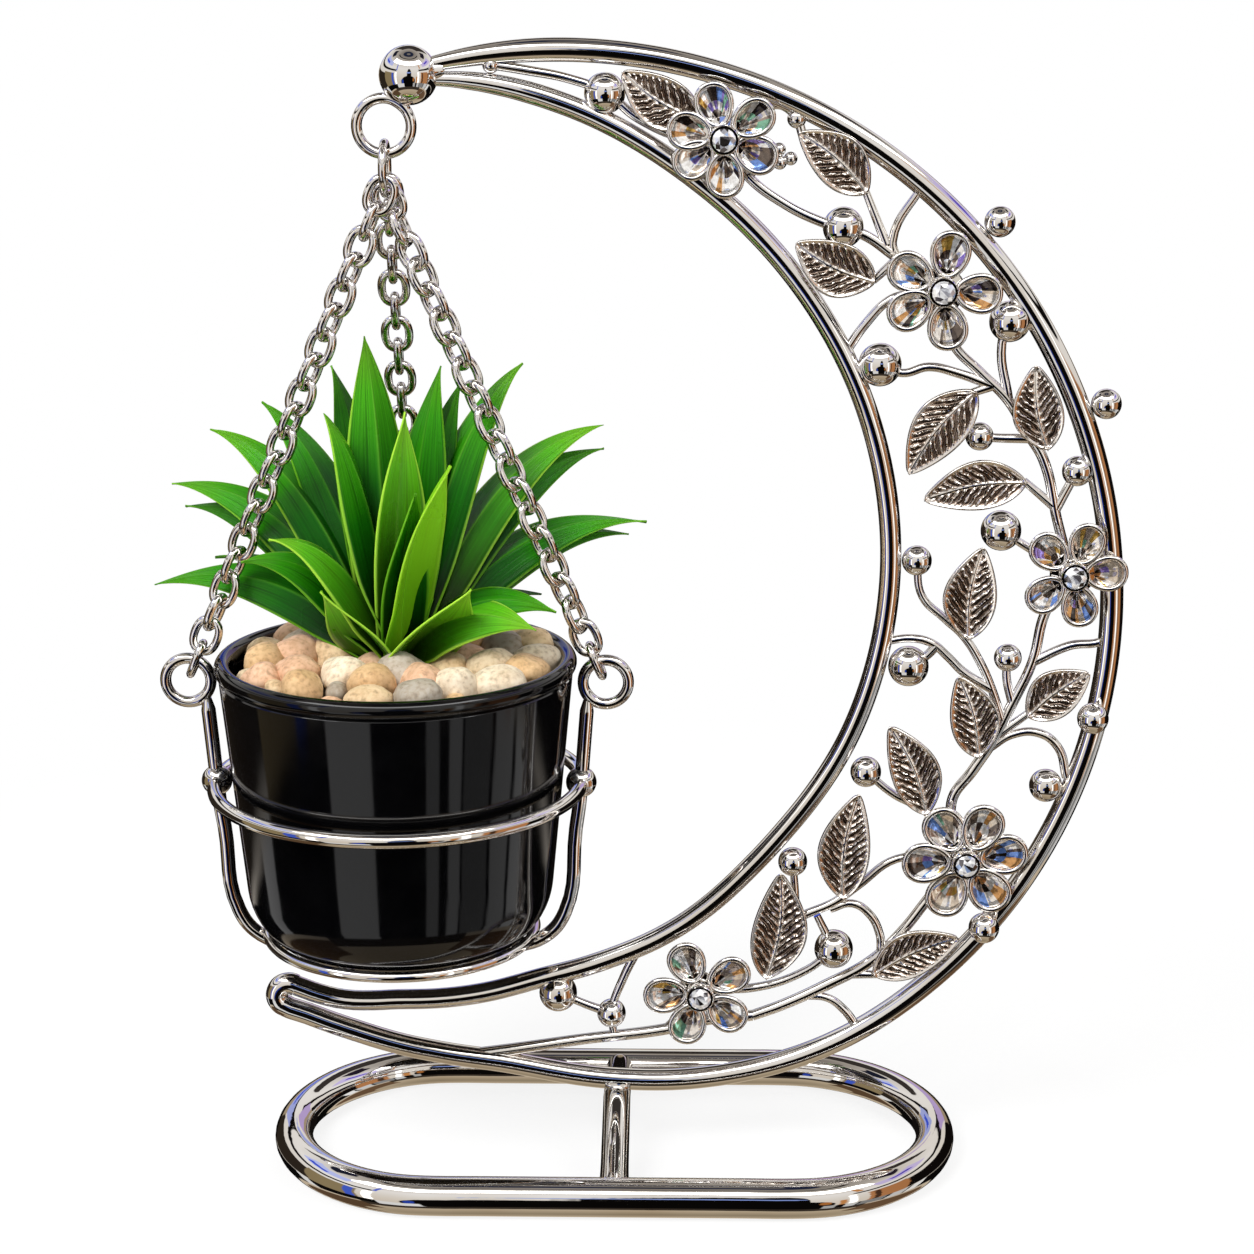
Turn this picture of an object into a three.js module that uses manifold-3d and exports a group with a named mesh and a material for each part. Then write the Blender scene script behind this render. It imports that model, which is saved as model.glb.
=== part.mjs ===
// Crescent moon plant stand: a polished metal crescent with a vine of leaves, berries and
// crystal flowers, on an oval tube base, with a pot hanging in a wire basket on three chains.
// Millimetres, +Z up, +Y away from the viewer, origin on the floor under the middle of the part.
import * as THREE from 'three';
import { mergeVertices } from 'three/addons/utils/BufferGeometryUtils.js';
import Module from 'manifold-3d';

const wasm = await Module();
wasm.setup();

// Clearances
const GAP = 0.3; // between pieces that are soldered, seated or hung on each other
const LINK_BITE = 0.5; // depth to which neighbouring chain links bear into each other
const END_SLACK = 1.3; // play of the last link of a chain on the thicker side ring

// Base
const BASE_LENGTH = 185; // middle of tube to middle of tube
const BASE_DEPTH = 86;
const BASE_TUBE = 10.8;
const BASE_FLAT = 0.3; // height of the flat ground under the tube
const STRUT = 7.8;

// Crescent
const CRESCENT_RADIUS = 150; // outer rail, to the middle of the rod
const CRESCENT_WIDTH = 63; // outer rail to inner rail at the widest
const FOOT_BEARING = -84; // where the struts meet the outer rail
const FOOT_X = 0.8; // that place from the middle of the base
const FOOT_HEIGHT = 20.4; // and over the floor
const OUTER_RAIL = 6.6;
const INNER_RAIL = 5.8;
const TIP_BEARING = -124.5; // where the rod is bent back on itself
const BALL_BEARING = 105.4;
const FINIAL = 15.5;
const BERRY_BITE = 0.6; // depth to which a berry is let into the rail
const BERRY_LEAN = 22; // degrees from the front towards the inside, where a front berry sits
const RAIL_POINT = 0.45; // thickness of the rails at the ball, as a share
const RAIL_TAPER = 0.06; // share of a rail's length over which it thickens from there

// Hanger
const RING_WIRE = 2.9;
const RING_RADIUS = 7.2;
const RING_LEAN = -117; // bearing of the ring from the finial ball
const RING_NOTCH = 1.5; // depth of the ring in the ball
const HANGER_WIRE = 2.2;
const HANGER_LENGTH = 13.2; // bow to bow, middle of wire
const HANGER_BOW = 6.6;
const CHAIN_WIRE = 1.8;
const CHAIN_WIDTH = 8;
const LINK_PITCH = 7;
const CHAIN_SPACING = 3.8; // between the first links along the hanger's bow
const CHAIN_TWIST = 45; // degrees by which the right chain is twisted at its middle
const SIDE_WIRE = 3.3;
const SIDE_RADIUS = 6.3;

// Pot and basket
const POT_RIM = 50; // outer radius at the lip
const POT_HEIGHT = 84.5;
const POT_OVER_TIP = 14; // underside of the pot over the crescent's lower tip
const POT_WALL = 2.6;
const POT_SIDES = 24; // facets round the pot and what fills it
const POT_CORNER = 20; // rounding between underside and wall
const POT_TAPER = 5.5; // degrees of the wall from upright
const LIP_HEIGHT = 7;
const LIP_PROUD = 1.3;
const RIM_OVER_RINGS = 8; // pot lip above the middle of the side rings
const PLUG_BELOW_LIP = 13;
const ROD = 4;
const HOOP_WIRE = 4.5;
const HOOP_BELOW_RINGS = 29;
const HOOP_SLACK = 3; // round the pot inside the hoop
const JOINT_BALL = 8.6;
const CRADLE_WIRE = 3;
const CRADLE_INSET = 5.4; // of the cradle ring from the pot's wall
const ROD_SHOULDER = 14; // over the hoop, where a rod turns out to its side ring
const ROD_HEEL = 8.5; // from the cradle ring out to where a rod turns up
const ROD_TAIL = 9; // from the cradle ring in to the end of a rod
const EYE_LEAN = 50; // degrees below level at which a rod meets its side ring

// Vine
const STEM = 3.2; // at the foot of the vine
const STEM_TOP = 2.2; // at its upper end
const TWIG = 1.9;
const LEAF_THICKNESS = 1.3;
const LEAF_RELIEF = 0.8; // edge of a leaf over its midline
const PETAL_START = 4; // from the middle of a flower to the inner end of a petal
const PETAL_LENGTH = 11.5;
const PETAL_WIDTH = 10.2;
const PETAL_PEAR = 0.3; // how far a petal narrows towards the middle of its flower
const PETAL_RIM = 0.9;
const PLATE = 1.2; // metal behind the crystals
const CRYSTAL_DEPTH = 1.6;
const CROWN_RISE = 1.3; // facets of a petal over its edge
const HUB = 6.2;
const HUB_CRYSTAL = 1;
const PEG = 5; // from a flower back to the stem
const POST = 3.4; // from a flower forward to the bezel
const STONE = 6.2;
const STONE_DEPTH = 2.4;
const BEZEL_WALL = 0.9;

// Filling
const PEBBLE = 14;
const MAT = 2.6; // foam mat that the pebbles are bedded in
const CROWN = 6.8; // radius of the plant's foot
const PEG_DEPTH = 9; // of the plant's foot in the foam
const BLADE_THICKNESS = 1.6;
const BLADE_KEEL = 0.2; // drop of the midline, as a share of the width

const chrome = { color: 0xd9d5cf, roughness: 0.08, metalness: 1 };
const crystal = { color: 0xe8eef4, roughness: 0.03, metalness: 0 };
const blackGlaze = { color: 0x0b0b0c, roughness: 0.08, metalness: 0 };
const foam = { color: 0x3a2f26, roughness: 0.95, metalness: 0 };
const riverStone = { color: 0xb9a58c, roughness: 0.6, metalness: 0 };
const leafGreen = { color: 0x3f8a2b, roughness: 0.4, metalness: 0 };

const point = (x, y, z) => new THREE.Vector3(x, y, z);
const radians = THREE.MathUtils.degToRad;
const X = point(1, 0, 0);
const Y = point(0, 1, 0);
const Z = point(0, 0, 1);

// A closed geometry as a solid that can be joined and cut
function solid(geometry) {
  geometry.deleteAttribute('normal');
  geometry.deleteAttribute('uv');
  const merged = mergeVertices(geometry, 1e-4);
  return new wasm.Manifold(new wasm.Mesh({
    numProp: 3,
    vertProperties: new Float32Array(merged.attributes.position.array),
    triVerts: new Uint32Array(merged.index.array),
  }));
}

function joined(solids) {
  return solids.reduce((whole, next) => whole.add(next));
}

// What is left of a solid, in one body, after its neighbours have taken their room
function seated(whole, neighbours) {
  const cut = neighbours.reduce((left, neighbour) => left.subtract(neighbour), whole);
  return cut.decompose().reduce((largest, next) => (next.volume() > largest.volume() ? next : largest));
}

// A closed skin over rings of points, capped at its ends unless it runs round to its start
function skin(rings, closed = false) {
  const count = rings.length;
  const around = rings[0].length;
  const faces = [];
  for (let i = 0; i < (closed ? count : count - 1); i += 1) {
    for (let j = 0; j < around; j += 1) {
      const a = i * around + j;
      const b = i * around + (j + 1) % around;
      const c = ((i + 1) % count) * around + j;
      const d = ((i + 1) % count) * around + (j + 1) % around;
      faces.push(a, b, c, b, d, c);
    }
  }
  const last = (count - 1) * around;
  for (let j = 1; j < around - 1 && !closed; j += 1) {
    faces.push(0, j + 1, j, last, last + j, last + j + 1);
  }
  const geometry = new THREE.BufferGeometry();
  const vertices = rings.flat().flatMap((p) => p.toArray());
  geometry.setAttribute('position', new THREE.Float32BufferAttribute(vertices, 3));
  geometry.setIndex(faces);
  return solid(geometry);
}

// A round bar along points, with one radius or a radius for each share of its length
function bar(points, radius, sides, closed = false, facing = Y) {
  const radiusAt = typeof radius === 'function' ? radius : () => radius;
  const count = points.length;
  const normal = facing.clone();
  const rings = points.map((centre, i) => {
    const before = points[closed ? (i + count - 1) % count : Math.max(i - 1, 0)];
    const after = points[closed ? (i + 1) % count : Math.min(i + 1, count - 1)];
    const along = after.clone().sub(before).normalize();
    normal.addScaledVector(along, -normal.dot(along)).normalize();
    const across = along.clone().cross(normal);
    return circle(centre, radiusAt(i / (count - 1)), sides, normal, across);
  });
  return skin(rings, closed);
}

function smooth(points, steps) {
  return new THREE.CatmullRomCurve3(points, false, 'centripetal').getSpacedPoints(steps);
}

function ball(centre, radius, around = 10, down = 6) {
  const geometry = new THREE.SphereGeometry(radius, around, down);
  geometry.translate(centre.x, centre.y, centre.z);
  return solid(geometry);
}

// A circle of points round a centre, in the plane of two directions
function circle(centre, radius, count, u, v, from = 0, to = 360) {
  const whole = to - from === 360;
  return Array.from({ length: count + (whole ? 0 : 1) }, (_, i) => {
    const angle = radians(from + (to - from) * i / count);
    const across = u.clone().multiplyScalar(radius * Math.cos(angle));
    return centre.clone().add(across).addScaledVector(v, radius * Math.sin(angle));
  });
}

// A turned solid from [radius, height] points, on an upright axis
function turned(profile, segments, axis) {
  const geometry = new THREE.LatheGeometry(profile.map(([r, z]) => new THREE.Vector2(r, z)), segments);
  geometry.rotateX(Math.PI / 2);
  geometry.translate(axis.x, axis.y, 0);
  return solid(geometry);
}

const stand = new THREE.Group();

function piece(name, finish, body) {
  const mesh = body.getMesh();
  const geometry = new THREE.BufferGeometry();
  geometry.setAttribute('position', new THREE.Float32BufferAttribute(mesh.vertProperties, 3));
  geometry.setIndex(Array.from(mesh.triVerts));
  geometry.computeVertexNormals();
  const node = new THREE.Mesh(geometry, new THREE.MeshStandardMaterial(finish));
  node.name = name;
  stand.add(node);
}

// Crescent outline: how the outer arc flattens towards its foot, and how wide the crescent is
// between its rails, as shares at bearings round the centre of the outer arc.
function graph(knots) {
  const curve = new THREE.CubicInterpolant(knots.map((k) => k[0]), knots.map((k) => k[1]), 1);
  return (at) => curve.evaluate(at)[0];
}

const flattening = graph([
  [-130, 0.965], [-122, 0.948], [-116, 0.934], [-110, 0.925], [-104, 0.916], [-97, 0.912],
  [-85, 0.94], [-75, 0.968], [-60, 0.994], [-45, 1], [110, 1],
]);
const fullness = graph([
  [-130, 0.115], [-123, 0.115], [-118, 0.14], [-112, 0.22], [-106, 0.28], [-99, 0.36], [-92, 0.47],
  [-74, 0.71], [-55, 0.91], [-22, 1], [11, 0.93], [44, 0.71], [71, 0.44], [90, 0.205], [97, 0.125],
  [104, 0.06], [110, 0.04],
]);

// A place in the crescent: share 0 is on the inner rail and 1 on the outer
const footReach = CRESCENT_RADIUS * flattening(FOOT_BEARING);
const crescentX = FOOT_X - footReach * Math.cos(radians(FOOT_BEARING));
const crescentHeight = FOOT_HEIGHT - footReach * Math.sin(radians(FOOT_BEARING));
function place(bearing, share, depth = 0, proud = 0) {
  const outer = CRESCENT_RADIUS * flattening(bearing) + proud;
  const radius = outer - CRESCENT_WIDTH * fullness(bearing) * (1 - share);
  const angle = radians(bearing);
  return point(crescentX + radius * Math.cos(angle), depth, crescentHeight + radius * Math.sin(angle));
}

function railPoints(share, from, to, steps) {
  return Array.from({ length: steps + 1 }, (_, i) => place(from + (to - from) * i / steps, share));
}

// Base: a round tube bent to an oval and ground flat underneath
const baseEnd = BASE_DEPTH / 2;
const baseStraight = BASE_LENGTH / 2 - baseEnd;
const basePath = [
  ...circle(point(baseStraight, 0, BASE_TUBE / 2 - BASE_FLAT), baseEnd, 11, X, Y, -90, 90),
  ...circle(point(-baseStraight, 0, BASE_TUBE / 2 - BASE_FLAT), baseEnd, 11, X, Y, 90, 270),
];
const baseTube = (grow) => bar(basePath, BASE_TUBE / 2 + grow, 8, true, Z);
const floorBlock = new THREE.BoxGeometry(BASE_LENGTH * 2, BASE_DEPTH * 2, BASE_TUBE);
const underFloor = solid(floorBlock.translate(0, 0, -BASE_TUBE / 2));
piece('base_ring', chrome, baseTube(0).subtract(underFloor));

const berry = (centre, across, grow) => ball(centre, across / 2 + grow, 6, 4);

// Rails: the outer rod is bent back at the lower tip, where the inner rod is butted to it
const tipOuter = place(TIP_BEARING, 1);
const tipInner = place(TIP_BEARING, 0);
const tipCentre = tipOuter.clone().add(tipInner).divideScalar(2);
const tipAcross = tipOuter.clone().sub(tipCentre);
const tipAlong = Y.clone().cross(tipAcross).normalize();
const hairpin = circle(tipCentre, tipAcross.length(), 6, tipAcross.clone().normalize(), tipAlong, 0, 180);
const outerPath = [...railPoints(1, BALL_BEARING, TIP_BEARING + 3, 38), ...hairpin];
const buttGap = THREE.MathUtils.radToDeg(GAP / CRESCENT_RADIUS);
const innerPath = railPoints(0, BALL_BEARING, TIP_BEARING + buttGap, 34);
const outerBerries = [[42.2, 8.2], [21.2, 8.2]]; // bearing and size of those on the outside
const frontBerries = [[-11.4, 8.6], [-37.6, 8.6]]; // and on the front, towards the inside
const berrySeat = (across) => (OUTER_RAIL + across) / 2 - BERRY_BITE;
const railTaper = (along) => 1 - (1 - RAIL_POINT) * Math.max(0, 1 - along / RAIL_TAPER) ** 2;
const frontBerry = ([bearing, across], grow) => {
  const seat = berrySeat(across);
  const lean = radians(BERRY_LEAN);
  return berry(place(bearing, 1, -seat * Math.cos(lean), -seat * Math.sin(lean)), across, grow);
};
const outerRail = (grow) => joined([
  bar(outerPath, (along) => OUTER_RAIL / 2 * railTaper(along) + grow, 6),
  ...outerBerries.map(([bearing, across]) => berry(place(bearing, 1, 0, berrySeat(across)), across, grow)),
  ...frontBerries.map((placed) => frontBerry(placed, grow)),
]);
const innerRail = (grow) => bar(innerPath, (along) => INNER_RAIL / 2 * railTaper(along) + grow, 6);
const finialCentre = place(BALL_BEARING, 0.5);
const finial = (grow) => ball(finialCentre, FINIAL / 2 + grow, 14, 8);
const rails = joined([outerRail(GAP), innerRail(GAP)]);
piece('outer_rail', chrome, seated(outerRail(0), [finial(GAP)]));
piece('inner_rail', chrome, seated(innerRail(0), [finial(GAP), outerRail(GAP)]));
piece('finial_ball', chrome, finial(0));

// Vine: stems, twigs and berries in six soldered lengths, given as [bearing, share] in the crescent
const stemLengths = [
  {
    name: 'vine_foot',
    stem: [[-101, 0.93], [-95.5, 0.79], [-87.5, 0.65], [-77, 0.62], [-71, 0.62], [-66, 0.68]],
    twigs: [
      [[-91, 0.19], [-87, 0.34], [-83.7, 0.44]],
      [[-83.7, 0.63], [-83.7, 0.44], [-81.3, 0.18], [-78, 0]],
      [[-71, 0.4], [-74, 0.52], [-77, 0.62]],
    ],
    berries: [[-83.7, 0.44, 8.2], [-91, 0.19, 10.8]],
  },
  {
    name: 'vine_low',
    stem: [[-66, 0.68], [-62, 0.69], [-56, 0.71], [-50, 0.74], [-44.7, 0.73], [-39.6, 0.71], [-32.5, 0.71]],
    twigs: [
      [[-52.6, 0.58], [-57, 0.59], [-64.6, 0.53], [-71, 0.4]],
      [[-33.5, 0.68], [-37.9, 0.48], [-44.3, 0.43], [-48.2, 0.41], [-54.4, 0.35], [-57, 0.36]],
      [[-49.5, 0.42], [-46.7, 0.47], [-46, 0.56], [-46.9, 0.67], [-48.1, 0.73]],
      [[-51.5, 0.4], [-52.6, 0.58]],
      [[-50.5, 0.81], [-53.3, 0.72]],
      [[-59.1, 0.7], [-56.9, 0.77], [-56.1, 0.86], [-56, 1]],
      [[-48.9, 0.13], [-52, 0.25], [-54.4, 0.35]],
    ],
    berries: [[-52.6, 0.58, 11], [-48.9, 0.13, 8.2]],
  },
  {
    name: 'vine_middle',
    stem: [
      [-32.5, 0.71], [-27.4, 0.54], [-22, 0.56], [-17.7, 0.59], [-12.6, 0.62], [-6.6, 0.67],
      [-0.6, 0.7], [4.5, 0.81],
    ],
    twigs: [
      [[-29.2, 0.14], [-30.2, 0.3], [-30, 0.44], [-30.8, 0.56], [-31, 0.66]],
      [[-18.7, 0.59], [-16.2, 0.66], [-15.1, 0.77], [-16.1, 0.87], [-19, 0.95]],
      [[-13.1, 0.7], [-16.8, 0.6]],
      [[-6.5, 0.56], [-9, 0.57], [-12.2, 0.62]],
      [[7.9, 0.12], [2, 0.15], [-1.6, 0.26], [-4, 0.35], [-7.4, 0.44], [-11, 0.52], [-14.8, 0.6]],
      [[-6.3, 0], [-5.1, 0.13], [-5.6, 0.22], [-7.4, 0.3], [-9.3, 0.38], [-11, 0.52]],
      [[-9.8, 0.14], [-8, 0.2], [-6, 0.24]],
      [[-1.8, 1], [-3.3, 0.97], [-4.3, 0.82], [-6.7, 0.67]],
    ],
    berries: [
      [-29.2, 0.14, 8.6], [-20.7, 0.88, 9.2], [-6.5, 0.56, 7.6], [7.9, 0.12, 8.2], [-9.8, 0.14, 11.2],
    ],
  },
  {
    name: 'vine_high',
    stem: [
      [4.5, 0.81], [10.3, 0.77], [17.8, 0.76], [21.6, 0.72], [25.6, 0.69], [30, 0.62], [35, 0.56],
      [41, 0.66],
    ],
    twigs: [
      [[38.2, 0.16], [35.4, 0.25], [34.1, 0.39], [31.5, 0.51], [27.9, 0.65]],
      [[35.4, 1], [33.4, 0.87], [31.8, 0.78], [25.6, 0.69]],
      [[23, 0.5], [22.2, 0.56], [20.5, 0.73]],
      [[15.9, 0.65], [12.2, 0.76]],
      [[15.4, 1], [15.4, 0.9], [14.1, 0.85], [11.7, 0.77]],
      [[10.4, 0.51], [7, 0.66], [4.5, 0.81]],
      [[28.5, 0.52], [28, 0.65]],
    ],
    berries: [[38.2, 0.16, 11.6], [33.4, 0.87, 11], [23, 0.5, 7.6], [15.4, 0.9, 8.2], [10.4, 0.51, 11]],
  },
  {
    name: 'vine_top',
    stem: [[41, 0.66], [47.4, 0.57], [51.7, 0.52], [56.5, 0.39], [62, 0.3], [67.3, 0.3], [71.3, 0.46]],
    twigs: [
      [[50.3, 1], [48.7, 0.62], [46.9, 0.57]],
      [[54.6, 0.73], [49, 0.58]],
      [[41, 0.66], [43, 0.5], [44, 0.39], [43.9, 0.21], [42.7, 0]],
      [[64.1, 0.56], [66, 0.42], [67.3, 0.3]],
      [[47.2, 0.38], [46.9, 0.57]],
    ],
    berries: [[54.2, 0.46, 10.8], [64.1, 0.56, 5.6]],
  },
  {
    name: 'vine_bud',
    stem: [[71.3, 0.46], [75, 0.3], [81, 0.24], [85, 0.4], [89, 0.47], [93.5, 0.51], [97, 0.62]],
    twigs: [],
    berries: [[85.1, 0.39, 10.8], [97, 0.6, 4.4]],
  },
];
const vineFrom = stemLengths[0].stem[0][0];
const vineTo = stemLengths.at(-1).stem.at(-1)[0];
const stemRadius = (bearing) => THREE.MathUtils.mapLinear(bearing, vineFrom, vineTo, STEM, STEM_TOP) / 2;
const onCrescent = ([bearing, share]) => place(bearing, share);

function vineLength({ stem, twigs, berries }, grow) {
  const from = stemRadius(stem[0][0]);
  const to = stemRadius(stem.at(-1)[0]);
  const thickness = (along) => THREE.MathUtils.lerp(from, to, along) + grow;
  const path = stem.map(onCrescent);
  const end = path.at(-1);
  end.add(path.at(-2).clone().sub(end).setLength(GAP - grow));
  return joined([
    bar(smooth(path, path.length + 1), thickness, 4),
    ...twigs.map((twig) => bar(smooth(twig.map(onCrescent), twig.length - 1), TWIG / 2 + grow, 4)),
    ...berries.map(([bearing, share, across]) => berry(place(bearing, share), across, grow)),
  ]);
}

// Flowers sit in front of the rails, each on a peg that is soldered to the stem behind it
const flowers = [
  { at: [71.3, 0.46], size: 0.95, petals: [106, 35, -24, -88, -146, 167] },
  { at: [41, 0.66], size: 1, petals: [79, -4, -80, -149, 151] },
  { at: [4.5, 0.81], size: 0.95, petals: [137, 69, 2, -77, -142] },
  { at: [-32.5, 0.71], size: 1.1, petals: [123, 66, 10, -51, -115, -177] },
  { at: [-71, 0.4], size: 1, petals: [112, 33, -38, -110, -176] },
];
const plateBack = -OUTER_RAIL / 2 - GAP;
const plateFront = plateBack - PLATE;
const crystalBack = plateFront - GAP;
const crystalFront = crystalBack - CRYSTAL_DEPTH;
const cupBack = crystalBack - HUB_CRYSTAL - GAP;
const cupFloor = cupBack - BEZEL_WALL;
const cupFront = cupFloor - STONE_DEPTH;

function disc(centre, radius, front, back, sides = 8) {
  return skin([back, front].map((y) => circle(centre.clone().setY(y), radius, sides, X, Z)));
}

// One petal's pear-shaped outline, drawn in by an inset, at a depth
function petalRing(centre, bearing, size, inset, y, share = 1) {
  const out = point(Math.cos(radians(bearing)), 0, Math.sin(radians(bearing)));
  const across = point(-out.z, 0, out.x);
  const halfLength = PETAL_LENGTH * size / 2;
  const halfWidth = PETAL_WIDTH * size / 2;
  const middle = centre.clone().setY(y).addScaledVector(out, PETAL_START + halfLength);
  return Array.from({ length: 6 }, (_, i) => {
    const cos = Math.cos(i * Math.PI / 3);
    const sin = Math.sin(i * Math.PI / 3) * (1 + PETAL_PEAR * cos);
    return middle.clone().addScaledVector(out, cos * (halfLength - inset) * share)
      .addScaledVector(across, sin * (halfWidth - inset) * share);
  });
}

function flowerRoom({ at, size }) {
  const reach = PETAL_START + PETAL_LENGTH * size + GAP;
  return disc(onCrescent(at), reach, -CRESCENT_RADIUS, plateBack + GAP);
}

// Leaves: dished blades, from base to tip in the crescent
const leaves = [
  [[74.5, 0.51], [83.5, 0.74], 13], [[54.6, 0.73], [64, 0.8], 13], [[47.2, 0.38], [58, 0.16], 14],
  [[28.5, 0.55], [22, 0.12], 14], [[19, 0.79], [28, 0.88], 13], [[15.9, 0.65], [17.4, 0.17], 13],
  [[-4, 0.37], [8.7, 0.42], 14], [[-19.9, 0.55], [-9.8, 0.36], 13], [[-13.1, 0.7], [-7, 0.92], 13],
  [[-30, 0.46], [-20.2, 0.14], 13], [[-46.8, 0.41], [-32.8, 0.16], 14], [[-62, 0.5], [-51.5, 0.12], 15],
  [[-50.5, 0.79], [-40.6, 0.93], 13],
];
// Shares of a leaf's length and width
const leafStations = [[0, 0.14], [0.18, 0.68], [0.45, 1], [0.76, 0.72], [1, 0.04]];
const leafBack = -TWIG / 2 - GAP;

function leaf([base, tip, width], grow) {
  const from = onCrescent(base);
  const along = onCrescent(tip).sub(from);
  const across = along.clone().normalize().cross(Y);
  const rimFront = leafBack - LEAF_THICKNESS - LEAF_RELIEF - grow;
  const bladeFront = leafBack - LEAF_THICKNESS - grow;
  return skin(leafStations.map(([share, fullWidth]) => {
    const half = width / 2 * fullWidth + grow;
    const middle = from.clone().addScaledVector(along, share);
    const at = (side, y) => middle.clone().addScaledVector(across, side * half).setY(y);
    const back = leafBack + grow;
    return [at(1, back), at(1, rimFront), at(0, bladeFront), at(-1, rimFront), at(-1, back)];
  }));
}

const flowerRooms = flowers.map(flowerRoom);
const vineRoom = [];
stemLengths.forEach((length) => {
  piece(length.name, chrome, seated(vineLength(length, 0), [rails, ...flowerRooms, ...vineRoom]));
  vineRoom.push(vineLength(length, GAP));
});
const leafRoom = [];
leaves.forEach((outline, i) => {
  const neighbours = [rails, ...flowerRooms, ...vineRoom, ...leafRoom];
  piece(`leaf_${i + 1}`, chrome, seated(leaf(outline, 0), neighbours));
  leafRoom.push(leaf(outline, GAP));
});

flowers.forEach(({ at, size, petals }, i) => {
  const centre = onCrescent(at);
  const ring = (bearing, inset, y, share) => petalRing(centre, bearing, size, inset, y, share);
  const stemFront = -stemRadius(at[0]) - GAP;
  const cup = disc(centre, STONE / 2 + BEZEL_WALL, cupFront, cupBack)
    .subtract(disc(centre, STONE / 2, cupFront - BEZEL_WALL, cupFloor));
  const setting = joined([
    disc(centre, HUB, plateFront, plateBack),
    ...petals.map((bearing) => skin([plateBack, plateFront].map((y) => ring(bearing, 0, y)))),
    disc(centre, POST / 2, cupBack - BEZEL_WALL / 2, plateFront + PLATE / 2),
    cup,
    disc(centre, PEG / 2, plateBack - PLATE / 2, stemFront),
  ]);
  piece(`flower_${i + 1}_setting`, chrome, seated(setting, []));

  const insert = joined([
    disc(centre, HUB - PETAL_RIM, crystalBack - HUB_CRYSTAL, crystalBack),
    ...petals.map((bearing) => skin([
      ring(bearing, PETAL_RIM, crystalBack),
      ring(bearing, PETAL_RIM, crystalFront),
      ring(bearing, PETAL_RIM, crystalFront - CROWN_RISE, 0.55),
    ])),
  ]);
  const postRoom = disc(centre, POST / 2 + GAP, cupFront, plateBack);
  const cupRoom = disc(centre, STONE / 2 + BEZEL_WALL + GAP, cupFront - STONE, cupBack + GAP);
  piece(`flower_${i + 1}_petals`, crystal, seated(insert, [postRoom, cupRoom]));

  const girdle = STONE / 2 - GAP;
  const stone = skin([[cupFloor - GAP, girdle], [cupFront, girdle], [cupFront - STONE / 5, girdle * 0.55]]
    .map(([y, radius]) => circle(centre.clone().setY(y), radius, 8, X, Z)));
  piece(`flower_${i + 1}_stone`, crystal, stone);
});

// Struts: the crescent's foot stands on two leaning bars from the front and rear tubes
const foot = place(FOOT_BEARING, 1);
const strutHead = foot.clone().setZ(foot.z - OUTER_RAIL / 2 - STRUT / 4);
['front', 'rear'].forEach((side, i) => {
  const heel = point(foot.x, (i ? 1 : -1) * BASE_DEPTH / 2, BASE_TUBE / 2);
  const strut = bar([heel, strutHead], STRUT / 2, 12);
  const middle = solid(new THREE.BoxGeometry(STRUT * 2, GAP, CRESCENT_RADIUS).translate(foot.x, 0, 0));
  piece(`${side}_strut`, chrome, seated(strut, [baseTube(GAP), outerRail(GAP), middle]));
});

// Hanging ring: notched into the underside of the finial ball
const ringReach = FINIAL / 2 + RING_RADIUS + RING_WIRE / 2 - RING_NOTCH;
const ringCentre = finialCentre.clone()
  .add(point(Math.cos(radians(RING_LEAN)), 0, Math.sin(radians(RING_LEAN))).multiplyScalar(ringReach));
const hangingRing = bar(circle(ringCentre, RING_RADIUS, 16, X, Z), RING_WIRE / 2, 6, true);
piece('hanging_ring', chrome, hangingRing.subtract(finial(GAP)));

// Hanger link: hangs edge-on over the lowest point of the ring
function bow(centre, halfLength, halfWidth, u, v, steps) {
  const straight = halfLength - halfWidth;
  return [
    ...circle(centre.clone().addScaledVector(v, straight), halfWidth, steps, u, v, 0, 180),
    ...circle(centre.clone().addScaledVector(v, -straight), halfWidth, steps, u, v, 180, 360),
  ];
}
const axis = point(ringCentre.x, 0, 0);
const hangerTop = ringCentre.z - RING_RADIUS + RING_WIRE / 2 + GAP + HANGER_WIRE / 2;
const hangerCentre = point(axis.x, 0, hangerTop - HANGER_LENGTH / 2);
const hangerPath = bow(hangerCentre, HANGER_LENGTH / 2, HANGER_BOW, Y, Z, 6);
piece('hanger_link', chrome, bar(hangerPath, HANGER_WIRE / 2, 6, true, X));
const hookHeight = hangerTop - HANGER_LENGTH;

// Side rings: three rings that the chains end in, left, right and at the back of the basket
const ringHeight = tipInner.z + POT_OVER_TIP + POT_HEIGHT - RIM_OVER_RINGS;
const ringReachOut = POT_RIM + SIDE_RADIUS + SIDE_WIRE / 2;
const sides = [
  { name: 'left', out: point(-1, 0, 0), slot: -1, twist: 0 },
  { name: 'right', out: point(1, 0, 0), slot: 0, twist: CHAIN_TWIST },
  { name: 'rear', out: point(0, 1, 0), slot: 1, twist: 0 },
];
const sideCentre = (side) => axis.clone().addScaledVector(side.out, ringReachOut).setZ(ringHeight);
const sidePath = (side) => circle(sideCentre(side), SIDE_RADIUS, 14, X, Z);
const sideRing = (side, grow) => bar(sidePath(side), SIDE_WIRE / 2 + grow, 5, true);
sides.forEach((side) => piece(`${side.name}_side_ring`, chrome, sideRing(side, 0)));

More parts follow.
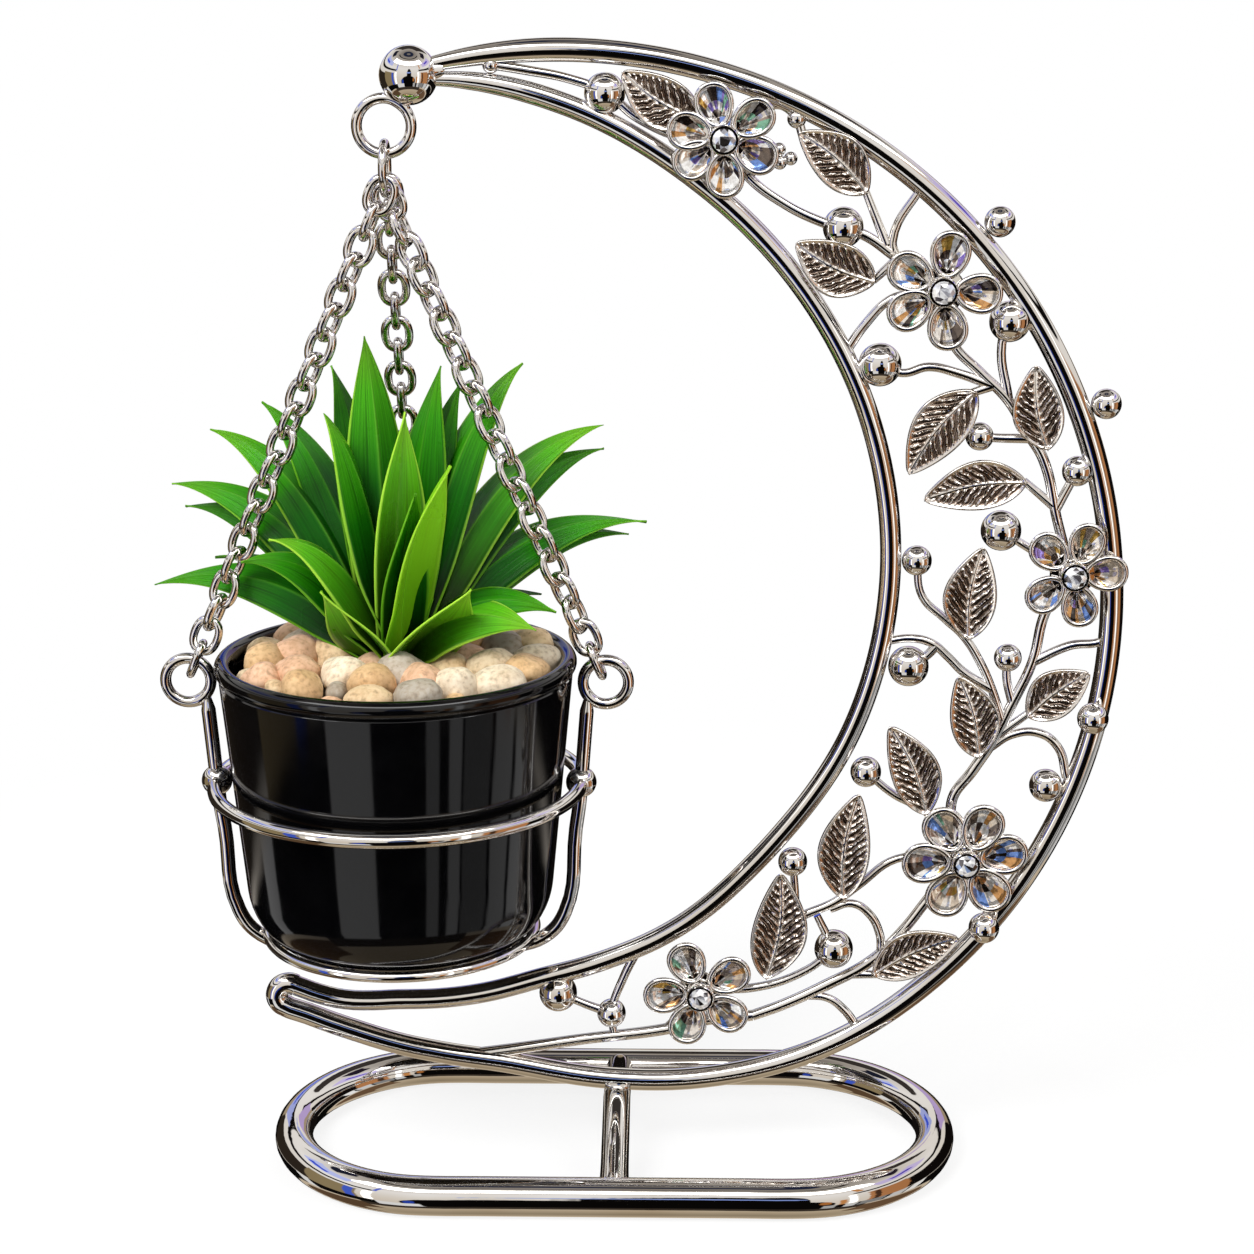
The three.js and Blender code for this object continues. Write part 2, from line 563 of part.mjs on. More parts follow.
// Chains: links at right angles, each bearing on the next, from the hanger's bow to a side ring
function chain(side) {
  const slotDepth = side.slot * CHAIN_SPACING;
  const slotEdge = Math.abs(slotDepth) + CHAIN_WIRE / 2;
  const bowRise = HANGER_BOW - Math.sqrt(HANGER_BOW ** 2 - slotEdge ** 2);
  const start = point(axis.x, slotDepth, hookHeight + bowRise);
  const ring = sideCentre(side);
  const inPlane = start.clone().sub(ring).setY(0).normalize();
  const end = ring.addScaledVector(inPlane, SIDE_RADIUS);
  const along = end.clone().sub(start).normalize();
  const overEnds = GAP + LINK_BITE / 2;
  const reach = start.distanceTo(end) + HANGER_WIRE / 2 + SIDE_WIRE / 2 + 2 * overEnds + END_SLACK;
  const count = 2 * Math.round(reach / LINK_PITCH / 2);
  const pitch = reach / count;
  const first = side.out.y ? X : along.clone().cross(Y).normalize();
  const halfWidth = (CHAIN_WIDTH - CHAIN_WIRE) / 2;
  const halfLength = (pitch - LINK_BITE + CHAIN_WIRE) / 2 / Math.sin(Math.PI / 3);
  const links = Array.from({ length: count }, (_, i) => {
    const spread = Math.sin(Math.PI * i / (count - 1));
    const across = first.clone().applyAxisAngle(along, radians(90 * i + side.twist * spread));
    const middle = start.clone().addScaledVector(along, pitch * (i + 0.5) - HANGER_WIRE / 2 - overEnds);
    const facing = along.clone().cross(across);
    const endwise = along.clone().multiplyScalar(halfLength);
    const oval = circle(middle, 1, 6, across.multiplyScalar(halfWidth), endwise);
    return bar(oval, CHAIN_WIRE / 2, 4, true, facing);
  });
  return joined(links);
}
sides.forEach((side) => piece(`${side.name}_chain`, chrome, chain(side)));

// Pot: turned, with a rounded foot, a tapered wall and a rolled lip
const rimHeight = ringHeight + RIM_OVER_RINGS;
const potFloor = rimHeight - POT_HEIGHT;
const taper = radians(POT_TAPER);
const wallTop = POT_RIM - LIP_PROUD;
const cornerHeight = potFloor + POT_CORNER;
const wallRadius = (z) => wallTop - (rimHeight - LIP_HEIGHT - z) * Math.tan(taper);
const cornerCentre = wallRadius(cornerHeight) - POT_CORNER / Math.cos(taper);
const cornerArc = [0, 1, 2, 3, 4].map((i) => {
  const angle = radians(-90 + (90 - POT_TAPER) * i / 4);
  return [cornerCentre + POT_CORNER * Math.cos(angle), cornerHeight + POT_CORNER * Math.sin(angle)];
});
const innerWall = (z) => wallRadius(z) - POT_WALL;
const wellFloor = potFloor + POT_WALL;
const potProfile = [
  [0, potFloor],
  ...cornerArc,
  [wallTop, rimHeight - LIP_HEIGHT],
  [POT_RIM, rimHeight - LIP_HEIGHT + LIP_PROUD],
  [POT_RIM, rimHeight - LIP_PROUD],
  [POT_RIM - LIP_PROUD, rimHeight],
  [innerWall(rimHeight - LIP_PROUD / 2), rimHeight - LIP_PROUD / 2],
  [innerWall(cornerHeight), cornerHeight],
  [cornerCentre, wellFloor],
  [0, wellFloor],
];
piece('pot', blackGlaze, turned(potProfile, POT_SIDES, axis));

// Basket: a cradle ring under the pot's rounded foot, three rods and a hoop in three arcs
const cradleRadius = wallRadius(cornerHeight) - CRADLE_INSET;
const cradleReach = POT_CORNER + CRADLE_WIRE / 2 + GAP;
const cradleDrop = Math.sqrt(cradleReach ** 2 - (cradleRadius - cornerCentre) ** 2);
const cradleCentre = point(axis.x, 0, cornerHeight - cradleDrop);
const cradlePath = circle(cradleCentre, cradleRadius, 24, X, Y);
const cradle = (grow) => bar(cradlePath, CRADLE_WIRE / 2 + grow, 5, true, Z);
piece('cradle_ring', chrome, cradle(0));

const hoopHeight = ringHeight - HOOP_BELOW_RINGS;
const hoopRadius = wallRadius(hoopHeight) + HOOP_SLACK + HOOP_WIRE / 2;
const hoopCentre = point(axis.x, 0, hoopHeight);
const jointCentre = (side) => hoopCentre.clone().addScaledVector(side.out, hoopRadius);
const jointBall = (side, grow) => ball(jointCentre(side), JOINT_BALL / 2 + grow, 8, 5);
const rodSeat = cradleCentre.z - CRADLE_WIRE / 2 - GAP - ROD / 2;
const eyeReach = SIDE_RADIUS + SIDE_WIRE / 2 + GAP;
sides.forEach((side) => {
  const at = (radius, z) => axis.clone().addScaledVector(side.out, radius).setZ(z);
  const eyeRadius = side.out.y ? ringReachOut : ringReachOut - eyeReach * Math.cos(radians(EYE_LEAN));
  const eyeDrop = side.out.y ? eyeReach : eyeReach * Math.sin(radians(EYE_LEAN));
  const middle = (hoopHeight + cornerHeight) / 2;
  const path = smooth([
    at(eyeRadius, ringHeight - eyeDrop),
    at(hoopRadius, hoopHeight + ROD_SHOULDER),
    at(hoopRadius, hoopHeight),
    at(wallRadius(middle) + HOOP_SLACK + ROD / 2, middle),
    at(cradleRadius + ROD_HEEL, rodSeat + ROD_HEEL),
    at(cradleRadius + ROD_HEEL * 0.3, rodSeat + ROD_HEEL * 0.12),
    at(cradleRadius - ROD_TAIL, potFloor - GAP - ROD / 2),
  ], 12);
  const facing = side.out.y ? X : Y;
  const rod = bar(path, ROD / 2, 5, false, facing).add(jointBall(side, 0));
  piece(`${side.name}_rod`, chrome, seated(rod, [sideRing(side, GAP), cradle(GAP)]));
});
const hoopCut = sides.map((side) => jointBall(side, GAP));
const hoopArcs = [['front', 180, 360, 14], ['rear_right', 0, 90, 7], ['rear_left', 90, 180, 7]];
hoopArcs.forEach(([name, from, to, steps]) => {
  const arc = bar(circle(hoopCentre, hoopRadius, steps, X, Y, from, to), HOOP_WIRE / 2, 5, false, Z);
  piece(`hoop_${name}`, chrome, seated(arc, hoopCut));
});

// Filling: a plug of foam, pebbles bedded on it and a plant in the middle
const plugTop = rimHeight - PLUG_BELOW_LIP;
const plugProfile = [
  [0, wellFloor + GAP],
  [cornerCentre - GAP, wellFloor + GAP],
  [innerWall(cornerHeight) - GAP, cornerHeight],
  [innerWall(plugTop) - GAP, plugTop],
  [0, plugTop],
];
const crownHeight = plugTop + MAT + PEBBLE / 2;
const crownFoot = (grow) => joined([
  ball(point(axis.x, 0, crownHeight), CROWN + grow, 8, 5),
  turned([[0, plugTop - PEG_DEPTH - grow], [CROWN * 0.8 + grow, plugTop - PEG_DEPTH - grow],
    [CROWN * 0.8 + grow, crownHeight], [0, crownHeight]], 8, axis),
]);
piece('foam_plug', foam, turned(plugProfile, POT_SIDES, axis).subtract(crownFoot(GAP)));

// Pebbles: bedded in a mat that lies on the plug, in rings round the plant
const matEdge = innerWall(plugTop) - GAP;
const matFloor = plugTop + GAP;
const matTop = plugTop + MAT;
const mat = turned([[0, matFloor], [matEdge, matFloor], [matEdge, matTop], [0, matTop]], POT_SIDES, axis);
const stones = [0, 1].flatMap((ring) => {
  const radius = matEdge - PEBBLE * (0.6 + 1.12 * ring);
  const count = Math.floor(2 * Math.PI * radius / (PEBBLE * 1.2));
  return Array.from({ length: count }, (_, i) => {
    const angle = 2 * Math.PI * (i + ring / 2) / count;
    const swell = 1 + 0.08 * Math.sin(i * 2.4 + ring);
    const stone = new THREE.IcosahedronGeometry(PEBBLE / 2, 0);
    stone.scale(1.08 * swell, 1.08, 0.8 * swell);
    stone.rotateZ(angle + i);
    stone.translate(axis.x + radius * Math.cos(angle), radius * Math.sin(angle), matTop + PEBBLE * 0.2);
    return solid(stone);
  });
});

// Plant: blades that leave one crown, each given by its tip from the crown and its width
const blades = [
  [-8, 6, 90, 12], [15, -20, 50, 13], [-20, -8, 66, 11], [-38, 21, 70, 12],
  [-52, 16, 63, 12], [-60, -16, 42, 12], [-34, -24, 26, 12], [-69, -14, 20, 12],
  [-36, 30, 36, 12], [12, 18, 82, 12], [35, 16, 82, 12], [54, 14, 66, 12],
  [66, 12, 38, 12], [60, -15, 30, 12], [24, -30, 22, 12], [30, 34, 34, 12],
  [-8, 44, 40, 12], [-4, -36, 30, 12],
];
function blade([dx, dy, dz, width]) {
  const level = point(-dy, dx, 0).normalize();
  const outward = level.clone().cross(Z);
  const root = point(axis.x, 0, crownHeight).addScaledVector(outward, CROWN * 0.5);
  const tip = point(axis.x + dx, dy, crownHeight + dz);
  const rise = root.clone().lerp(tip, 0.4).setZ(crownHeight + dz * 0.72 + CROWN);
  const spine = new THREE.QuadraticBezierCurve3(root, rise, tip).getPoints(4);
  const swell = [0.4, 0.9, 1, 0.7, 0.05];
  return skin(spine.map((centre, i) => {
    const half = level.clone().multiplyScalar(width / 2 * swell[i]);
    const upper = centre.clone().setZ(centre.z - BLADE_KEEL * width * swell[i]);
    const lower = upper.clone().setZ(upper.z - BLADE_THICKNESS * (0.4 + 0.6 * swell[i]));
    return [centre.clone().add(half), upper, centre.clone().sub(half), lower];
  }));
}
const foliage = joined(blades.map(blade));
piece('pebble_bed', riverStone, seated(joined([mat, ...stones]), [crownFoot(GAP)]));
piece('plant', leafGreen, seated(joined([crownFoot(0), foliage]), []));

// The part stands with the middle of its box over the origin
const box = new THREE.Box3().setFromObject(stand);
stand.position.set(-(box.min.x + box.max.x) / 2, -(box.min.y + box.max.y) / 2, -box.min.z);

export default stand;
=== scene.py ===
# Crescent moon plant stand: a chrome plated crescent with a vine of leaves, berries and crystal
# flowers on an oval tube base, and a black pot that hangs in a wire basket on three chains.
# The file follows the stand as it is put together, from the floor up.
import math
import random

import bpy
from mathutils import Matrix, Vector, noise


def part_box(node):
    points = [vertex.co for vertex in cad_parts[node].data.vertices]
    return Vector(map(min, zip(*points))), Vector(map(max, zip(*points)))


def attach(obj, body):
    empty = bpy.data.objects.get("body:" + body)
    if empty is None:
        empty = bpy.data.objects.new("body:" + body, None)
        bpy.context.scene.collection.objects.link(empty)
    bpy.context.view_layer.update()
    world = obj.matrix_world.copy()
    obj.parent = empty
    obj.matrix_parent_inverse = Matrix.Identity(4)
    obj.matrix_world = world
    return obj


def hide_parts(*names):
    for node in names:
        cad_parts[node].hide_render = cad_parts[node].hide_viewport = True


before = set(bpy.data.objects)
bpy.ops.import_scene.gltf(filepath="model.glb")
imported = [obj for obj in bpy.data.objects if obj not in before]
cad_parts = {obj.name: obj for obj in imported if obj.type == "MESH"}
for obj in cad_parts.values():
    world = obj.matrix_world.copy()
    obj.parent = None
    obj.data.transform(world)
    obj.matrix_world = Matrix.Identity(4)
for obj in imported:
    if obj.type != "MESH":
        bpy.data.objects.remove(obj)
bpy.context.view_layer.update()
bpy.ops.object.select_all(action="DESELECT")

# Base: an oval of round steel tube, bent, welded shut and ground flat underneath so that it
# stands still, then polished and chrome plated like the rest of the frame.
MM = 0.001
BASE_LENGTH, BASE_DEPTH, BASE_TUBE, BASE_FLAT = 185, 86, 10.8, 0.3
base_low, base_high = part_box("base_ring")
base_middle = (base_low + base_high) / 2


def spot(x, y, z):
    """A place in millimetres from the middle of the base, over the floor."""
    return Vector((base_middle.x + x * MM, base_middle.y + y * MM, z * MM))


def linear(colour):
    """An sRGB hex colour as linear red, green, blue and alpha."""
    parts = [int(colour[i:i + 2], 16) / 255 for i in (1, 3, 5)]
    return [c / 12.92 if c <= 0.04045 else ((c + 0.055) / 1.055) ** 2.4 for c in parts] + [1]


def node(tree, kind, inputs=None, stops=(), **settings):
    """Adds a node with its settings, a value, node or socket for each input, and a colour ramp's stops."""
    made = tree.nodes.new("ShaderNode" + kind)
    for key, value in settings.items():
        setattr(made, key, value)
    for socket, value in (inputs or {}).items():
        if isinstance(value, bpy.types.Node):
            value = next(output for output in value.outputs if output.enabled)
        if isinstance(value, bpy.types.NodeSocket):
            tree.links.new(value, made.inputs[socket])
        else:
            made.inputs[socket].default_value = value
    for i, (place, colour) in enumerate(stops):
        stop = made.color_ramp.elements[i] if i < 2 else made.color_ramp.elements.new(place)
        stop.position = place
        stop.color = linear(colour)
    return made


def blank(name):
    """A new material, its node tree and the place on the piece that its patterns follow."""
    made = bpy.data.materials.new(name)
    made.use_nodes = True
    made.node_tree.nodes.clear()
    return made, made.node_tree, node(made.node_tree, "TexCoord").outputs["Object"]


def reshaped(edit, **settings):
    """Runs one mesh edit over the whole of the active piece."""
    bpy.ops.object.mode_set(mode="EDIT")
    bpy.ops.mesh.select_all(action="SELECT")
    edit(**settings)
    bpy.ops.object.mode_set(mode="OBJECT")


def merged(piece):
    """Welds a piece's seams and points its faces outwards."""
    bpy.context.view_layer.objects.active = piece
    reshaped(bpy.ops.mesh.remove_doubles, threshold=1e-6)
    reshaped(bpy.ops.mesh.normals_make_consistent, inside=False)
    bpy.ops.object.shade_smooth_by_angle(angle=math.radians(45))
    return piece


def drawn(name, kind):
    """A new curve as the active piece, with one run of the given kind."""
    bpy.ops.curve.primitive_bezier_curve_add()
    bpy.context.object.name = name
    curve = bpy.context.object.data
    curve.splines.clear()
    return curve, curve.splines.new(kind)


def wire(name, points, across, closed=False, steps=4, swell=None, facets=5):
    """A round wire bent through points, as thick as across or swell(share) times that."""
    curve, run = drawn(name, "BEZIER")
    run.bezier_points.add(len(points) - 1)
    for i, knot in enumerate(run.bezier_points):
        knot.co = points[i]
        knot.handle_left_type = knot.handle_right_type = "AUTO"
        knot.radius = swell(i / (len(points) - 1)) if swell else 1
    run.use_cyclic_u = closed
    run.resolution_u = steps
    curve.bevel_depth = across / 2 * MM
    curve.bevel_resolution = facets
    curve.use_fill_caps = not closed
    bpy.ops.object.convert(target="MESH")
    return merged(bpy.context.object)


def joined(name, pieces):
    """Several meshes as one piece."""
    bpy.ops.object.select_all(action="DESELECT")
    for piece in pieces:
        piece.select_set(True)
    bpy.context.view_layer.objects.active = pieces[0]
    if len(pieces) > 1:
        bpy.ops.object.join()
    whole = bpy.context.object
    whole.name = name
    return whole


def fitted(piece, finish, slot, body, *nodes):
    """Gives a piece its finish, the body it rides on and the nodes it stands for."""
    piece.data.materials.clear()
    piece.data.materials.append(finish)
    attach(piece, body)
    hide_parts(*nodes)
    bpy.ops.object.select_all(action="DESELECT")
    return piece


# Chrome plate on hand-polished steel: a mirror that is a little warm, with slow waves left by
# the polishing wheel and faint dulled patches from handling.
chrome_plate, tree, where = blank("chrome_plate_hand_polished")
handling = node(tree, "TexNoise", {"Vector": where, "Scale": 1 / (14 * MM), "Detail": 3})
warmth = node(tree, "TexNoise", {"Vector": where, "Scale": 1 / (30 * MM), "Detail": 2})
waves = node(tree, "TexNoise", {"Vector": where, "Scale": 1 / (5 * MM), "Detail": 1})
dulling = node(tree, "MapRange", {
    "Value": handling, "From Min": 0.35, "From Max": 0.7, "To Min": 0.015, "To Max": 0.05})
polish = node(tree, "Bump", {"Height": waves, "Strength": 0.25, "Distance": 0.1 * MM})
tint = node(tree, "ValToRGB", {"Fac": warmth}, [(0.3, "#ECEBEA"), (0.55, "#E4E1DD"), (0.75, "#DAD4CC")])
plate = node(tree, "BsdfPrincipled", {
    "Base Color": tint, "Metallic": 1, "Roughness": dulling, "Normal": polish})
node(tree, "OutputMaterial", {"Surface": plate})

BEND_STEPS, STRAIGHT_STEPS = 16, 8
base_bend = BASE_DEPTH / 2
base_straight = BASE_LENGTH / 2 - base_bend
tube_height = BASE_TUBE / 2 - BASE_FLAT
base_run = []
for side, start in ((1, -90), (-1, 90)):
    for i in range(BEND_STEPS + 1):
        turn = math.radians(start + 180 * i / BEND_STEPS)
        base_run.append(spot(
            side * base_straight + base_bend * math.cos(turn), base_bend * math.sin(turn), tube_height))
    for i in range(1, STRAIGHT_STEPS):
        base_run.append(spot(
            side * base_straight * (1 - 2 * i / STRAIGHT_STEPS), side * base_bend, tube_height))
base_tube = wire("base_tube", base_run, BASE_TUBE, closed=True, steps=3, facets=10)
reshaped(bpy.ops.mesh.bisect, plane_co=(0, 0, 0), plane_no=(0, 0, 1), use_fill=True, clear_inner=True)
fitted(base_tube, chrome_plate, "chrome", "stand", "base_ring")

# Crescent: two rods bent to arcs that draw together at both ends, the outer bent back on itself
# at the lower tip. Berries are let into the outer rod, and all is soldered, polished and plated.
CRESCENT_RADIUS, CRESCENT_WIDTH = 150, 63
FOOT_BEARING, FOOT_X, FOOT_HEIGHT = -84, 0.8, 20.4
OUTER_RAIL, INNER_RAIL = 6.6, 5.8
TIP_BEARING, BALL_BEARING = -124.5, 105.4
RAIL_POINT, RAIL_TAPER, RAIL_STEPS = 0.45, 0.06, 76
# The outer rod is polished thinner and sits in a little, and its hairpin starts before the tip.
OUTER_POLISHED, OUTER_SET_IN, HAIRPIN_LEAD, HAIRPIN_STEPS = 0.3, 0.4, 3, 8
BERRY_BITE, BERRY_LEAN, BERRY_UNEVEN = 0.6, 22, 0.012
X, Y, Z = Vector((1, 0, 0)), Vector((0, 1, 0)), Vector((0, 0, 1))


def graph(knots):
    """A smooth curve through (place, value) knots, straight at its ends."""
    def value(at):
        i = max(k for k in range(len(knots) - 1) if knots[k][0] <= at)
        (t0, v0), (t1, v1) = knots[i], knots[i + 1]
        before = knots[i - 1] if i else (2 * t0 - t1, v1)
        after = knots[i + 2] if i + 2 < len(knots) else (2 * t1 - t0, v0)
        p, half = (at - t0) / (t1 - t0), (t1 - t0) / 2
        wb, wa = half / (t0 - before[0]), half / (after[0] - t1)
        share_before = -wb * p ** 3 + 2 * wb * p ** 2 - wb * p
        share_0 = (1 + wb) * p ** 3 + (-1.5 - 2 * wb) * p ** 2 + (-0.5 + wb) * p + 1
        share_1 = (-1 - wa) * p ** 3 + (1.5 + wa) * p ** 2 + 0.5 * p
        share_after = wa * p ** 3 - wa * p ** 2
        return share_before * before[1] + share_0 * v0 + share_1 * v1 + share_after * after[1]
    return value


flattening = graph([
    (-130, 0.965), (-122, 0.948), (-116, 0.934), (-110, 0.925), (-104, 0.916), (-97, 0.912),
    (-85, 0.94), (-75, 0.968), (-60, 1), (-45, 1.008), (-20, 1.009), (5, 1.004), (30, 1), (110, 1)])
fullness = graph([
    (-130, 0.115), (-123, 0.115), (-118, 0.14), (-112, 0.22), (-106, 0.28), (-99, 0.36), (-92, 0.47),
    (-74, 0.72), (-55, 0.935), (-22, 1.015), (11, 0.94), (44, 0.735), (71, 0.47), (90, 0.22), (97, 0.13),
    (104, 0.06), (110, 0.04)])
foot_reach = CRESCENT_RADIUS * flattening(FOOT_BEARING)
crescent_x = FOOT_X - foot_reach * math.cos(math.radians(FOOT_BEARING))
crescent_height = FOOT_HEIGHT - foot_reach * math.sin(math.radians(FOOT_BEARING))


def crescent(bearing, share, depth=0, proud=0):
    """A place in the crescent: share 0 is on the inner rail and 1 on the outer."""
    outer = CRESCENT_RADIUS * flattening(bearing) + proud
    reach = outer - CRESCENT_WIDTH * fullness(bearing) * (1 - share)
    turn = math.radians(bearing)
    return spot(crescent_x + reach * math.cos(turn), depth, crescent_height + reach * math.sin(turn))


def berry(centre, across):
    """A turned ball, polished by hand and so very slightly uneven."""
    bpy.ops.mesh.primitive_uv_sphere_add(segments=32, ring_count=20, radius=across / 2 * MM)
    ball = bpy.context.object
    for corner in ball.data.vertices:
        uneven = noise.noise(corner.co.normalized() * 1.6 + centre * 90)
        corner.co = centre + corner.co * (1 + BERRY_UNEVEN * uneven)
    bpy.ops.object.shade_smooth()
    return ball


def rail_taper(along):
    """The rods are drawn to a point where they enter the ball."""
    return 1 - (1 - RAIL_POINT) * max(0, 1 - along / RAIL_TAPER) ** 2


tip_outer, tip_inner = crescent(TIP_BEARING, 1), crescent(TIP_BEARING, 0)
tip_centre = (tip_outer + tip_inner) / 2
tip_across = tip_outer - tip_centre
tip_along = Y.cross(tip_across)
outer_run, inner_run = [], []
for i in range(RAIL_STEPS + 1):
    down = (TIP_BEARING - BALL_BEARING) * i / RAIL_STEPS
    inner_run.append(crescent(BALL_BEARING + down, 0))
    outer_run.append(crescent(BALL_BEARING + down + HAIRPIN_LEAD * i / RAIL_STEPS, 1, 0, -OUTER_SET_IN))
for i in range(HAIRPIN_STEPS + 1):
    turn = math.pi * i / HAIRPIN_STEPS
    outer_run.append(tip_centre + tip_across * math.cos(turn) + tip_along * math.sin(turn))
outer_rail = [wire("outer_rod", outer_run, OUTER_RAIL - OUTER_POLISHED, steps=3, facets=7, swell=rail_taper)]
for bearing, across in ((42.2, 8.2), (21.2, 8.2)):
    outer_rail.append(berry(crescent(bearing, 1, 0, (OUTER_RAIL + across) / 2 - BERRY_BITE), across))
lean = math.radians(BERRY_LEAN)
for bearing, across in ((-11.4, 8.6), (-37.6, 8.6)):
    seat = (OUTER_RAIL + across) / 2 - BERRY_BITE
    outer_rail.append(berry(crescent(bearing, 1, -seat * math.cos(lean), -seat * math.sin(lean)), across))
fitted(joined("crescent_outer_rod", outer_rail), chrome_plate, "chrome", "stand", "outer_rail")
inner_rail = wire("crescent_inner_rod", inner_run, INNER_RAIL, steps=3, facets=7, swell=rail_taper)
fitted(inner_rail, chrome_plate, "chrome", "stand", "inner_rail")

# Finial ball: a solid ball, turned, polished and plated. It is drilled to take the ends of both rods,
# which are soldered into it, and so closes the top of the crescent.
FINIAL, ROD_MOUTH = 15.5, 6.6
finial_low, finial_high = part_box("finial_ball")
finial_centre = (finial_low + finial_high) / 2
finial = [berry(finial_centre, FINIAL)]
mouth = [crescent(BALL_BEARING - turn, 0.5) for turn in (2.2, 2.9, 3.6)]
finial.append(wire("rod_mouth", mouth, ROD_MOUTH, swell=lambda along: 1 - 0.3 * along))
fitted(joined("finial", finial), chrome_plate, "chrome", "stand", "finial_ball")

# Struts: two round bars that lean together under the crescent's foot, cut to the round of the
# tubes that they stand on and soldered there, with a fillet of solder round each heel.
STRUT, STRUT_STEPS = 7.8, 12
foot = crescent(FOOT_BEARING, 1)
head = foot - Z * (OUTER_RAIL / 2 + STRUT / 4) * MM
for name, side in (("front", -1), ("rear", 1)):
    heel = Vector((foot.x, base_middle.y + side * BASE_DEPTH / 2 * MM, BASE_TUBE / 2 * MM))
    bar = [heel.lerp(head, i / STRUT_STEPS) for i in range(STRUT_STEPS + 1)]
    strut = wire(f"strut_{name}", bar, STRUT, steps=2, facets=7,
                 swell=lambda along: 1 + 0.1 * math.exp(-(along / 0.16) ** 2))
    fitted(strut, chrome_plate, "chrome", "stand", f"{name}_strut")

# Vine: drawn wires that are bent by hand, thinner towards the top, soldered end to end and to the
# rods, with twigs that taper to a turned berry or a leaf.
STEM, STEM_TOP, TWIG = 3.4, 2.5, 2.5
